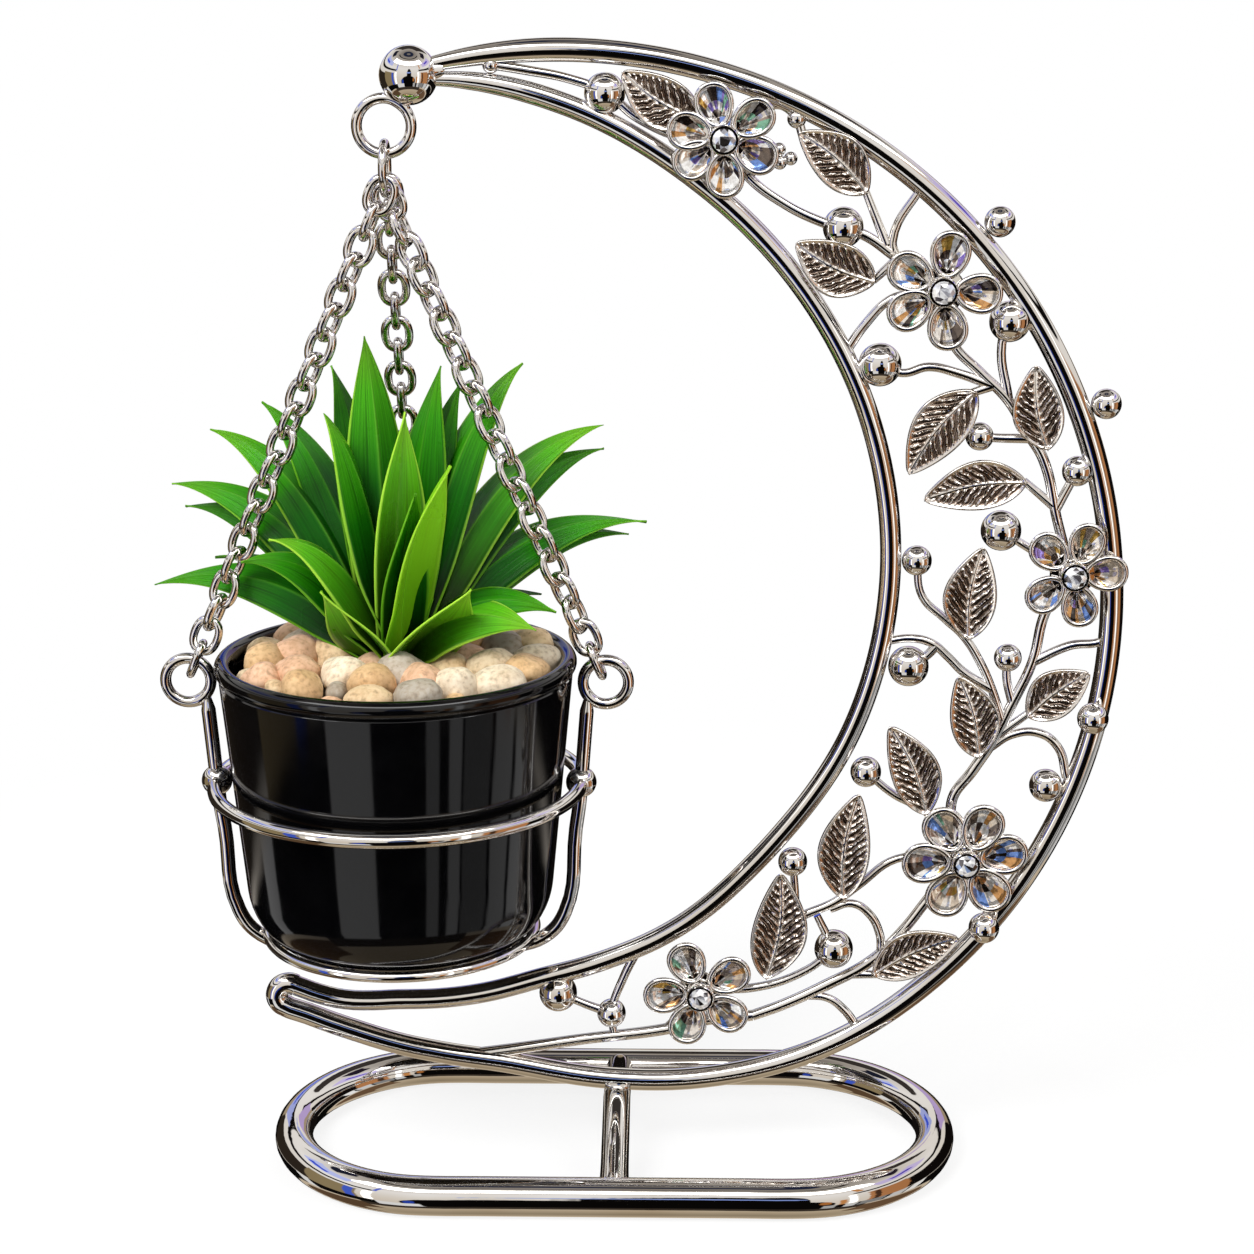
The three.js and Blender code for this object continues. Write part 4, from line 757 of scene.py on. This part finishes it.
# Black stoneware glaze: a deep glassy black with a slight pull where the glaze ran, so that what it
# reflects wavers a little.
black_glaze, tree, where = blank("stoneware_black_glaze")
runs = node(tree, "Mapping", {"Vector": where, "Scale": (1, 1, 0.25)})
pull = node(tree, "TexNoise", {"Vector": runs, "Scale": 1 / (22 * MM), "Detail": 2})
bloom = node(tree, "TexNoise", {"Vector": where, "Scale": 1 / (9 * MM), "Detail": 4})
gloss = node(tree, "MapRange", {"Value": bloom, "To Min": 0.03, "To Max": 0.11})
skin = node(tree, "Bump", {"Height": pull, "Strength": 0.25, "Distance": 0.5 * MM})
depth = node(tree, "ValToRGB", {"Fac": bloom}, [(0.3, "#020203"), (0.7, "#050506")])
glaze = node(tree, "BsdfPrincipled", {
    "Base Color": depth, "Roughness": gloss, "Specular IOR Level": 0.45, "Normal": skin})
node(tree, "OutputMaterial", {"Surface": glaze})
pot_axis = Vector((axis.x, axis.y, 0))
pot = turned("planter_pot", profile, 112, pot_axis)
fitted(pot, black_glaze, "black_glaze", "planter", "pot")

# Basket: three bent rods with a turned ball where the hoop is soldered to them, each eye closed on its
# side ring, and a cradle ring of thinner wire that the pot's rounded foot sits in.
ROD, HOOP_WIRE, HOOP_BELOW_RINGS, HOOP_SLACK, JOINT_BALL = 4, 4.5, 29, 3, 8.6
CRADLE_WIRE, CRADLE_INSET = 3, 5.4
ROD_HEEL, ROD_TAIL, EYE_LEAN, HOOP_POLISHED = 8.5, 9, 50, 0.4
ring_height = side_centres["left"].z / MM
ring_reach = POT_RIM + SIDE_RADIUS + SIDE_WIRE / 2
cradle_low, cradle_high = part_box("cradle_ring")
cradle_height = (cradle_low.z + cradle_high.z) / 2 / MM
cradle_radius = wall_radius(corner_height) - CRADLE_INSET
hoop_height = ring_height - HOOP_BELOW_RINGS
hoop_radius = wall_radius(hoop_height) + HOOP_SLACK + HOOP_WIRE / 2
rod_seat = cradle_height - CRADLE_WIRE / 2 - CHAIN_GAP - ROD / 2
middle = (hoop_height + corner_height) / 2
eye_reach = SIDE_RADIUS + SIDE_WIRE / 2
for name, (out, _, _) in sides.items():
    def on_rod(radius, height):
        """A place in the rod's upright plane."""
        return pot_axis + out * radius * MM + Z * height * MM
    lean = math.radians(90 if out.y else EYE_LEAN)
    neck = on_rod(ring_reach - eye_reach * math.cos(lean), ring_height - eye_reach * math.sin(lean))
    ball_seat = on_rod(hoop_radius, hoop_height)
    bend = [neck.lerp(ball_seat, share) for share in (-0.04, 0.1, 0.3, 0.55, 0.8, 1)] + [
        on_rod(hoop_radius - 0.5, hoop_height - 6),
        on_rod(wall_radius(middle) + HOOP_SLACK + ROD / 2, middle),
        on_rod(cradle_radius + ROD_HEEL, rod_seat + ROD_HEEL),
        on_rod(cradle_radius + ROD_HEEL * 0.3, rod_seat + ROD_HEEL * 0.12),
        on_rod(cradle_radius - ROD_TAIL, pot_floor - CHAIN_GAP - ROD / 2)]
    rod = [wire("rod", bend, ROD, steps=6, facets=5, swell=lambda along: min(1, 0.62 + along * 6)),
           berry(ball_seat, JOINT_BALL)]
    fitted(joined(f"rod_{name}", rod), chrome_plate, "chrome", "basket", f"{name}_rod")

hoop_run = circle(pot_axis + Z * hoop_height * MM, hoop_radius, 60, X, Y)
hoop = wire("hoop", hoop_run, HOOP_WIRE - HOOP_POLISHED, closed=True, steps=3, facets=6)
fitted(hoop, chrome_plate, "chrome", "basket", "hoop_front", "hoop_rear_right", "hoop_rear_left")
cradle_run = circle(pot_axis + Z * cradle_height * MM, cradle_radius, 48, X, Y)
cradle = wire("cradle", cradle_run, CRADLE_WIRE, closed=True, steps=3, facets=5)
fitted(cradle, chrome_plate, "chrome", "basket", "cradle_ring")

# Foam plug: a block of open dry foam that is cut to the pot and holds the plant's foot. It keeps the
# shape that it is cut to.
# Dry foam: dull brown, with pores all over, drawn coarser than life and painted darker inside as shade so
# that they show.
dry_foam, tree, where = blank("florist_foam_cut")
pores = node(tree, "TexVoronoi", {"Vector": where, "Scale": 1 / (1.4 * MM)})
pitting = node(tree, "Bump", {"Height": pores, "Distance": 0.4 * MM})
brown_and_pore_shade = node(tree, "ValToRGB", {"Fac": pores}, [(0.1, "#2A221B"), (0.6, "#4A3C30")])
cut_foam = node(tree, "BsdfPrincipled", {"Base Color": brown_and_pore_shade, "Roughness": 0.95, "Normal": pitting})
node(tree, "OutputMaterial", {"Surface": cut_foam})
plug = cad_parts["foam_plug"]
plug.data.materials.clear()
plug.data.materials.append(dry_foam)

# Pebbles: river stones, tumbled smooth, in tan, pinkish and grey, laid on the foam round the plant.
# They are glued in a thin mat so that they stay when the pot tips; the mat is painted dark as shade
# in the gaps between the stones.
BED_BELOW_RIM, FILLER_SUNK = 2.2, 2.2
STONE_SPACING, WALL_SHARE = 8.5, 0.55
# The smaller stones: how many are tried, how close they lie, and how far from the plant's foot.
FILLER_TRIES, FILLER_WALL_SHARE, FILLER_OVERLAP, FILLER_INNER = 2600, 0.48, 0.41, 9
mat_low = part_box("pebble_bed")[0]
stone_bed = rim_height - BED_BELOW_RIM
# Places from the middle of the pot in millimetres, size and colour, of those that show at the front.
front_stones = [
    (-40, 12, 12, 0), (-35, -3, 14, 1), (-27, 13, 14, 2), (-18, 1, 14, 0), (-25, -16, 14, 4),
    (-12, -20, 13, 2), (-6, -8, 12, 4), (3, -18, 18, 5), (16, -10, 14, 0), (19, 5, 12, 4),
    (30, 13, 15, 6), (28, -11, 15, 7), (39, 1, 13, 2), (41, 14, 12, 0), (19, -26, 12, 2),
    (-22, -30, 12, 1), (-33, 25, 12, 4), (33, 27, 12, 0)]
STONE_COLOURS = ["#F0D6AE", "#E6C395", "#F6E8D0", "#D9B287", "#F0C8A8", "#C4BBAE", "#B3AA9C", "#E7D5B6"]
# Tumbled stone: matt, cloudy and speckled, so that no two look alike. The specks are coarser than life
# so that they show.
river_pebble, tree, where = blank("river_pebble_tumbled")
tone = node(tree, "Attribute", attribute_name="stone_colour").outputs["Color"]
specks = node(tree, "TexNoise", {"Vector": where, "Scale": 1 / (1.4 * MM), "Detail": 6})
clouds = node(tree, "TexNoise", {"Vector": where, "Scale": 1 / (7 * MM), "Detail": 4})
flecks = node(tree, "ValToRGB", {"Fac": specks}, [(0.3, "#9A8A7B"), (0.46, "#EAE1D6"), (0.6, "#FFFFFF")])
speckled = node(tree, "Mix", {"Factor": 0.6, 6: tone, 7: flecks}, data_type="RGBA", blend_type="MULTIPLY")
clouding = node(tree, "ValToRGB", {"Fac": clouds}, [(0.3, "#C9B9A6"), (0.62, "#FFFFFF")])
clouded = node(tree, "Mix", {
    "Factor": 0.5, 6: speckled, 7: clouding}, data_type="RGBA", blend_type="MULTIPLY")
grit = node(tree, "Bump", {"Height": specks, "Strength": 0.5, "Distance": 0.15 * MM})
tumbled = node(tree, "BsdfPrincipled", {
    "Base Color": clouded, "Roughness": 0.5, "Specular IOR Level": 0.35, "Normal": grit})
node(tree, "OutputMaterial", {"Surface": tumbled})

dice = random.Random(11)
layout = list(front_stones)
inner_edge = wall_radius(rim_height - 10) - POT_WALL
for ring, (radius, count) in enumerate(((inner_edge - 7, 19), (inner_edge - 19, 13), (inner_edge - 30, 8))):
    for i in range(count):
        turn = 2 * math.pi * (i + ring / 2) / count
        x, y = radius * math.cos(turn), radius * math.sin(turn)
        if all(math.hypot(x - s[0], y - s[1]) > STONE_SPACING for s in layout):
            layout.append((x, y, dice.uniform(12, 14.5), dice.randrange(len(STONE_COLOURS))))
# Stones near the wall are pushed in until they clear it, then smaller ones fill the gaps, lower down.
large = len(layout)
layout = [(x * ease, y * ease, size, colour) for x, y, size, colour in layout
          for ease in [min(1, (inner_edge - size * WALL_SHARE) / max(1, math.hypot(x, y)))]]
handful = random.Random(23)
for _ in range(FILLER_TRIES):
    size = handful.uniform(6.5, 10)
    radius = (inner_edge - size * FILLER_WALL_SHARE) * math.sqrt(handful.random())
    turn = handful.uniform(0, 2 * math.pi)
    x, y = radius * math.cos(turn), radius * math.sin(turn)
    if radius > FILLER_INNER and all(
            math.hypot(x - s[0], y - s[1]) > (size + s[2]) * FILLER_OVERLAP for s in layout):
        layout.append((x, y, size, handful.randrange(len(STONE_COLOURS))))
pebbles = []
for number, (x, y, size, colour) in enumerate(layout):
    bpy.ops.mesh.primitive_ico_sphere_add(subdivisions=4, radius=0.5)
    stone = bpy.context.object
    squat = Vector((dice.uniform(1, 1.15), dice.uniform(0.88, 1), dice.uniform(0.74, 0.9)))
    turn = Matrix.Rotation(dice.uniform(0, 6.28), 3, "Z") @ Matrix.Rotation(dice.uniform(-0.3, 0.3), 3, "X")
    sunk = 0 if number < large else FILLER_SUNK
    place = pot_axis + Vector((x, y, stone_bed - sunk + dice.uniform(-1, 1.4))) * MM
    for corner in stone.data.vertices:
        seat = corner.co + Vector((number * 3.3, 0, 0))
        swell = 1 + 0.22 * noise.noise(seat * 1.7) + 0.05 * noise.noise(seat * 4.5)
        corner.co = place + (turn @ (corner.co * squat * swell)) * size * MM
    tones = stone.data.color_attributes.new("stone_colour", "FLOAT_COLOR", "POINT")
    tones.data.foreach_set("color", linear(STONE_COLOURS[colour]) * len(tones.data))
    bpy.ops.object.shade_smooth()
    pebbles.append(stone)
mat = turned("pebble_mat", [
    (0, 0), (inner_edge - 1.2, 0), (inner_edge - 0.6, 4), (inner_edge - 2, 6), (0, 7)], 64,
    pot_axis + Z * mat_low.z)
# The mat's dark brown is painted shade for the gaps between the stones.
tones = mat.data.color_attributes.new("stone_colour", "FLOAT_COLOR", "POINT")
tones.data.foreach_set("color", linear("#2E261F") * len(tones.data))
fitted(joined("pebbles", [mat] + pebbles), river_pebble, "river_stone", "planter", "pebble_bed")

# Plant: an artificial bromeliad-like tuft of pressed leaves, moulded in glossy green with fine
# lengthwise veins, a folded midline and yellow-green margins brightened by a painted highlight,
# on a foot pushed into the foam.
CROWN_RADIUS, CROWN_BELOW_RIM, ROOT_SUNK, FILM = 3.4, 3.4, 3, 0.5
KNEE, TURN_OUT, TURN_OUT_REACH, MIDLINE_FOLD, WIDEST = 0.42, 46, 24, 0.42, 0.38
# The low ones at the front: nearer than this, with tips between these heights, and a lower knee.
FRONT_REACH, FRONT_LOW, FRONT_HIGH, FRONT_KNEE = -22, 165, 175, 0.3
crown_height = rim_height - CROWN_BELOW_RIM
# Tip from the middle of the pot, its height over the floor, width, twist in degrees, and painted light: low
# for the back ones, painted in shade, high for the front ones.
blades = [
    (-7, 4, 235, 18, 8, 0.62), (5, -11, 217, 17, -6, 0.72), (18, -24, 205, 19, 10, 1),
    (-17, 10, 226, 14, 10, 0.4), (-17, -8, 216, 17, -12, 0.6), (-38, 21, 214, 14.5, 10, 0.5),
    (-52, 17, 207, 14.5, 8, 0.6), (-63, 15, 192, 15, 8, 0.55), (-60, 18, 185, 14, -8, 0.35),
    (-31, -20, 184, 20, 12, 0.68), (-68.3, 11, 164, 14.5, -8, 0.5), (-40, -12, 176, 14, -8, 0.5),
    (-17, -24, 171, 20, 4, 0.7), (13, 10, 226, 16, -8, 0.5), (18, 15, 221, 14, 12, 0.4),
    (35, 15, 226, 14.5, -8, 0.6), (57, 20, 208, 14.5, -8, 0.65), (57, 22, 201, 14.5, 8, 0.4),
    (69, 18, 181, 14.5, -8, 0.5), (64, 20, 177, 14, 8, 0.35), (23, -25, 172, 27, -4, 0.8),
    (45, -14, 163, 14.5, 8, 0.5), (39, 26, 158, 14, -8, 0.2), (-36, 32, 180, 14, 10, 0.3),
    (30, 36, 178, 14, -10, 0.3), (-8, 42, 186, 14, 8, 0.35), (7, 38, 204, 14, -8, 0.4),
    (-54, 28, 168, 14, 10, 0.3), (50, 30, 172, 14, -12, 0.3), (40, -22, 160, 17, 10, 0.68),
    (8, -16, 196, 15, 8, 0.45)]

# Moulded leaf film, printed green and lacquered: shiny, with painted shade that darkens the foot, pale veins
# that run lengthwise and a yellow-green margin brightened by a painted highlight. Back leaves are painted
# darker as shade and front ones lighter and limer as painted light.
leaf_film, tree, where = blank("moulded_leaf_film_green")
sheet = node(tree, "SeparateXYZ", {"Vector": node(tree, "UVMap", uv_map="UVMap").outputs["UV"]})
painted_light_value = node(tree, "Attribute", attribute_name="painted_light").outputs["Fac"]
margin = node(tree, "Math", {0: sheet.outputs["Y"], 1: 0.5}, operation="SUBTRACT")
margin = node(tree, "Math", {0: margin}, operation="ABSOLUTE")
strip = node(tree, "CombineXYZ", {"X": sheet.outputs["X"], "Y": sheet.outputs["Y"]})
stretch = node(tree, "Mapping", {"Vector": strip, "Scale": (1.5, 26, 1)})
veins = node(tree, "TexNoise", {"Vector": stretch, "Scale": 1, "Detail": 3})
blotch = node(tree, "TexNoise", {"Vector": where, "Scale": 1 / (16 * MM), "Detail": 3})
# Darker towards the foot as painted shade, lighter towards the tip.
growth = node(tree, "ValToRGB", {"Fac": sheet.outputs["X"]}, [
    (0, "#010A02"), (0.2, "#062D08"), (0.45, "#1F7813"), (0.75, "#5ABB1E"), (1, "#98D634")])
vein_lines = node(tree, "ValToRGB", {"Fac": veins}, [(0.3, "#5C7A4A"), (0.52, "#DDEACC"), (0.7, "#FFFFFF")])
veined = node(tree, "Mix", {
    "Factor": 0.8, 6: growth, 7: vein_lines}, data_type="RGBA", blend_type="MULTIPLY")
# The margin is printed yellow-green and brightened further as a painted highlight.
margin_and_painted_highlight = node(tree, "MapRange", {
    "Value": margin, "From Min": 0.45, "From Max": 0.485, "To Min": 0, "To Max": 0.85})
edged = node(tree, "Mix", {"Factor": margin_and_painted_highlight, 6: veined, 7: linear("#B8E64C")}, data_type="RGBA")
midline = node(tree, "MapRange", {
    "Value": margin, "From Min": 0.01, "From Max": 0.04, "To Min": 0.45, "To Max": 0})
lined = node(tree, "Mix", {"Factor": midline, 6: edged, 7: linear("#79BE3C")}, data_type="RGBA")
# Blades with little painted light, the back ones, are painted darker as shade.
painted_back_shade = node(tree, "ValToRGB", {"Fac": painted_light_value}, [(0.2, "#446B44"), (0.5, "#9CC688"), (0.75, "#FFFFFF")])
lit = node(tree, "Mix", {"Factor": 1, 6: lined, 7: painted_back_shade}, data_type="RGBA", blend_type="MULTIPLY")
# Blades with most painted light, the front ones, are painted lighter and limer.
painted_front_light = node(tree, "MapRange", {
    "Value": painted_light_value, "From Min": 0.62, "From Max": 1, "To Min": 0, "To Max": 0.7})
bright = node(tree, "Mix", {"Factor": painted_front_light, 6: lit, 7: linear("#8CCB1E")}, data_type="RGBA")
sheen = node(tree, "MapRange", {"Value": blotch, "To Min": 0.2, "To Max": 0.38})
ribs = node(tree, "Bump", {"Height": veins, "Strength": 0.6, "Distance": 0.25 * MM})
film = node(tree, "BsdfPrincipled", {
    "Base Color": bright, "Roughness": sheen, "Specular IOR Level": 0.22, "Normal": ribs})
node(tree, "OutputMaterial", {"Surface": film})

tuft = []
for number, (dx, dy, tip_height, width, twist, painted_light) in enumerate(blades):
    reach = math.hypot(dx, dy)
    outward = Vector((dx, dy, 0)).normalized()
    level = Vector((-outward.y, outward.x, 0))
    root = pot_axis / MM + outward * CROWN_RADIUS + Z * (crown_height - ROOT_SUNK)
    tip = pot_axis / MM + Vector((dx, dy, tip_height))
    rise = tip_height - crown_height
    knee = root.lerp(tip, KNEE)
    sideways = abs(outward.x) ** 1.5
    knee.z = crown_height + rise * (0.5 + 0.18 * sideways) + (9 + reach * 0.14) * sideways
    # A leaf that points sideways is turned on its midline so that its upper face looks to the front.
    turn_out = math.copysign(TURN_OUT * sideways, outward.x) if dy < TURN_OUT_REACH else 0
    # The low ones at the front stand up from the crown and show their backs.
    if dy < FRONT_REACH and FRONT_LOW < tip_height < FRONT_HIGH:
        knee.z = crown_height + rise * FRONT_KNEE
        turn_out = 0
    bpy.ops.mesh.primitive_grid_add(x_subdivisions=40, y_subdivisions=10, size=2, calc_uvs=True)
    blade = bpy.context.object
    for corner in blade.data.vertices:
        t, v = (corner.co.x + 1) / 2, corner.co.y
        centre = root * (1 - t) ** 2 + knee * 2 * t * (1 - t) + tip * t ** 2
        tangent = ((knee - root) * (1 - t) + (tip - knee) * t).normalized()
        ease = min(1, t / 0.3)
        angle = turn_out * ease * ease * (3 - 2 * ease) + twist * (t - 0.3) * 1.6
        roll = Matrix.Rotation(math.radians(angle), 3, tangent)
        side = roll @ level
        face = roll @ level.cross(tangent)
        if t < WIDEST:
            swell = 0.6 + 0.4 * math.sin(math.pi / 2 * t / WIDEST)
        else:
            swell = max(0, math.cos(math.pi / 2 * (t - WIDEST) / (1 - WIDEST))) ** 1.25
        half = width / 2 * swell
        fold = MIDLINE_FOLD * half * (1 - abs(v)) ** 1.2
        ripple = 0.35 * math.sin(t * 9 + number) * v
        corner.co = (centre + side * v * half - face * (fold - ripple)) * MM
    painted_light_values = blade.data.attributes.new("painted_light", "FLOAT", "POINT")
    painted_light_values.data.foreach_set("value", [painted_light] * len(blade.data.vertices))
    merged(blade)
    thickened(blade, "film", FILM, 0)
    bpy.ops.object.modifier_apply(modifier="film")
    bpy.ops.object.shade_smooth()
    tuft.append(blade)
heart = turned("plant_foot", [(0, -11), (4.8, -11), (5.2, -2), (4.6, 3), (2.5, 6), (0, 7)], 32,
               pot_axis + Z * crown_height * MM)
# The foot gets little painted light, so it is painted dark as shade in the crown.
foot_painted_light = heart.data.attributes.new("painted_light", "FLOAT", "POINT")
foot_painted_light.data.foreach_set("value", [0.1] * len(heart.data.vertices))
heart.data.uv_layers.new(name="UVMap")
fitted(joined("foliage", tuft + [heart]), leaf_film, "leaf", "planter", "plant")

# Studio: a pale floor, a white surround and soft lamps. The floor is lit as far as white away from the
# object and keeps its shadow close to it.


def looked_at(tree):
    """One for a ray from the camera, from polish or through glass, and nought for all others."""
    rays = node(tree, "LightPath")
    looks = node(tree, "Math", {0: rays.outputs["Is Camera Ray"], 1: rays.outputs["Is Glossy Ray"]},
                 operation="MAXIMUM")
    return node(tree, "Math", {0: looks, 1: rays.outputs["Is Transmission Ray"]}, operation="MAXIMUM")


pale_floor, tree, where = blank("studio_floor_white_paper")
fibre = node(tree, "TexNoise", {"Vector": where, "Scale": 1 / (2 * MM), "Detail": 2})
pulp = node(tree, "ValToRGB", {"Fac": fibre}, [(0.3, "#F6F6F5"), (0.7, "#FAFAF9")])
paper = node(tree, "BsdfPrincipled", {"Base Color": pulp, "Roughness": 0.9})
glow = node(tree, "Emission", {"Color": linear("#FFFFFF"), "Strength": 1})
reach = node(tree, "VectorMath", {0: where}, operation="LENGTH")
open_floor = node(tree, "MapRange", {
    "Value": reach, "From Min": 0.15, "From Max": 0.42, "To Min": 0.84, "To Max": 1})
share = node(tree, "Math", {0: looked_at(tree), 1: open_floor}, operation="MULTIPLY")
floor_mix = node(tree, "MixShader", {"Fac": share, 1: paper, 2: glow})
node(tree, "OutputMaterial", {"Surface": floor_mix})
bpy.ops.mesh.primitive_plane_add(size=8, location=(0, 0, 0))
floor = bpy.context.object
floor.name = "studio_floor"
floor.data.materials.append(pale_floor)
floor.visible_glossy = False

# Light tent: white paper all round with dark, tan and coloured panels in it, and a tan sheet below,
# which only the polish, the glaze and the crystal show.
TENT_RADIUS, TENT_HEIGHT = 3, 0.12
tent_middle = Z * TENT_HEIGHT
# Height angle in degrees, and colour.
tent_shades = [
    (-90, "#94866F"), (-65, "#B3A288"), (-42, "#CBBAA2"), (-36, "#D9CFC2"), (-8, "#E3DACE"),
    (8, "#E9E3DB"), (30, "#F6F3F0"), (44, "#E2DDD7"), (58, "#B9B2AA"), (75, "#8E8780"), (90, "#78736E")]
# Bearing from the camera and height angle, each from and to, and colour. Later panels lie on top.
tent_panels = [
    (86, 150, -24, 10, "#0F0C0B"), (54, 86, -36, 14, "#B87F52"), (-150, -96, -24, 10, "#2E2720"),
    (-96, -54, -36, 14, "#8F7F5E"), (-64, -56, -36, 14, "#4560CC"), (58, 63, -36, 12, "#4A3324"),
    (34, 39, -36, -2, "#C98B52"), (-180, 180, -40, -25, "#0B0A09"), (-150, -60, -64, -44, "#5C4733"),
    (60, 150, -64, -44, "#6B523C"), (-180, 180, 78, 86, "#232A40"), (-100, 100, 66, 70, "#14110F"),
    (-170, -46, 20, 25, "#0F0C0B"), (46, 170, 20, 25, "#0F0C0B"), (-46, -42, 22, 42, "#5A6FD8"),
    (50, 55, 28, 42, "#C98B52"), (-125, -70, 32, 44, "#BFC8FA"), (-118, -92, 34, 38, "#3F57D8"),
    (70, 125, 32, 44, "#D2C6F5"), (85, 112, 36, 40, "#5A48C8"), (104, 140, 48, 58, "#231D2B"),
    (-140, -104, 48, 58, "#1D2030"), (150, 210, 34, 62, "#3A3532"), (-180, -150, -10, 8, "#A8977F"),
    (150, 180, -10, 8, "#A8977F"), (-178, -152, 8, 22, "#A9B2EA"), (-172, -160, 12, 17, "#3F57D8"),
    (152, 178, 8, 22, "#BFA9DC"), (-60, 60, -52, -40, "#3A322A")]
# Round patches, dark where the camera and the way in are: middle, half width, half height and colour.
tent_patches = [
    (3, -18, 28, 21, "#0B0908"), (6, 8, 8.5, 22, "#0B0908"), (180, -15, 34, 16, "#14110F"),
    (-19, -17, 4, 9, "#2B45A8"), (24, -12, 4, 8, "#B0703A"), (4, 15, 9, 2.5, "#8FA8F0")]
# Lamps and lit gaps in the tent: as the panels, with how bright they are against white paper.
tent_strips = [
    (-75, 75, 44, 56, 6), (-50, -44, -24, 16, 2), (41, 46, -24, 16, 2), (-112, -98, -40, -25, 0.8),
    (-43, -13, -40, -25, 0.8), (24, 33, -40, -25, 0.45), (40, 49, -40, -25, 0.65),
    (51, 71, -40, -25, 0.25), (74, 90, -40, -25, 0.65), (93, 107, -40, -25, 0.9)]
bpy.ops.mesh.primitive_uv_sphere_add(
    segments=360, ring_count=180, radius=TENT_RADIUS, location=tent_middle)
bpy.ops.object.transform_apply(location=True, rotation=False, scale=False)
tent = bpy.context.object
tent.name = "studio_tent"
shades = [(height, linear(colour)) for height, colour in tent_shades]
panels = [(*panel[:4], linear(panel[4])) for panel in tent_panels]
patches = [(*patch[:4], linear(patch[4])) for patch in tent_patches]
tent_colours = tent.data.color_attributes.new("tent_colour", "FLOAT_COLOR", "POINT")
for corner, paint in zip(tent.data.vertices, tent_colours.data):
    away = corner.co - tent_middle
    height = math.degrees(math.asin(max(-1, min(1, away.z / TENT_RADIUS))))
    bearing = math.degrees(math.atan2(away.x, -away.y))
    k = max(i for i in range(len(shades) - 1) if shades[i][0] <= height)
    (h0, low), (h1, high) = shades[k], shades[k + 1]
    colour = [a + (b - a) * (height - h0) / (h1 - h0) for a, b in zip(low, high)]
    for west, east, bottom, top, panel_colour in panels:
        if bottom <= height <= top and (west <= bearing <= east or west <= bearing + 360 <= east):
            colour = panel_colour
    for middle, level, wide, tall, patch_colour in patches:
        off = (bearing - middle + 180) % 360 - 180
        if (off / wide) ** 2 + ((height - level) / tall) ** 2 < 1:
            colour = patch_colour
    for west, east, bottom, top, strength in tent_strips:
        if bottom <= height <= top and west <= bearing <= east:
            colour = (strength, strength, strength, 1)
    paint.color = colour
tent_paper, tree, _ = blank("studio_tent_paper")
printed = node(tree, "Attribute", attribute_name="tent_colour").outputs["Color"]
paint = node(tree, "Emission", {"Color": printed, "Strength": 1})
node(tree, "OutputMaterial", {"Surface": paint})
tent_paper.cycles.emission_sampling = "NONE"
tent.data.materials.append(tent_paper)
tent.visible_camera = tent.visible_diffuse = tent.visible_shadow = False

# Soft lamps: two in front and one behind, turned to the pot, for the matt things and the shadow.
for name, place, size, power in (
        ("lamp_left", (-0.9, -0.9, 1.4), 0.9, 34), ("lamp_right", (1.1, -0.5, 1.1), 0.8, 9),
        ("lamp_back", (0.2, 1.1, 1.3), 1.0, 8)):
    lamp_data = bpy.data.lights.new(name, "AREA")
    lamp_data.size = size
    lamp_data.energy = power
    lamp = bpy.data.objects.new(name, lamp_data)
    lamp.location = place
    lamp.rotation_euler = (Vector(place) - tent_middle).to_track_quat("Z", "Y").to_euler()
    lamp.visible_glossy = False
    bpy.context.scene.collection.objects.link(lamp)

# White surround: a soft light from all sides that shows as white behind the stand.
surround = bpy.data.worlds.new("white_surround")
surround.use_nodes = True
tree = surround.node_tree
tree.nodes.clear()
lighting = node(tree, "Background", {"Color": linear("#FFFFFF"), "Strength": 0.3})
showing = node(tree, "Background", {"Color": linear("#FFFFFF"), "Strength": 1})
white = node(tree, "MixShader", {"Fac": looked_at(tree), 1: lighting, 2: showing})
node(tree, "OutputWorld", {"Surface": white})
bpy.context.scene.world = surround

# Camera: a little above the stand, looking down at it, as in the photograph. Its place is in
# millimetres from the middle of the base, and its focal length in pixels of the photograph.
SENSOR, FOCAL_PIXELS, PHOTO_PIXELS = 36, 2600, 1254
CAMERA_RIGHT, CAMERA_AWAY, CAMERA_HEIGHT, CAMERA_TILT, CAMERA_SWING = 3.7, 692.2, 336.9, 14.7, 1
camera_data = bpy.data.cameras.new("photo_camera")
camera_data.sensor_width = SENSOR
camera_data.lens = SENSOR * FOCAL_PIXELS / PHOTO_PIXELS
camera = bpy.data.objects.new("photo_camera", camera_data)
swing = math.radians(CAMERA_SWING)
camera.location = spot(CAMERA_RIGHT * math.cos(swing) + CAMERA_AWAY * math.sin(swing),
                       CAMERA_RIGHT * math.sin(swing) - CAMERA_AWAY * math.cos(swing), CAMERA_HEIGHT)
camera.rotation_euler = (math.radians(90 - CAMERA_TILT), 0, swing)
bpy.context.scene.collection.objects.link(camera)
bpy.context.scene.camera = camera
bpy.context.scene.view_settings.view_transform = "Standard"
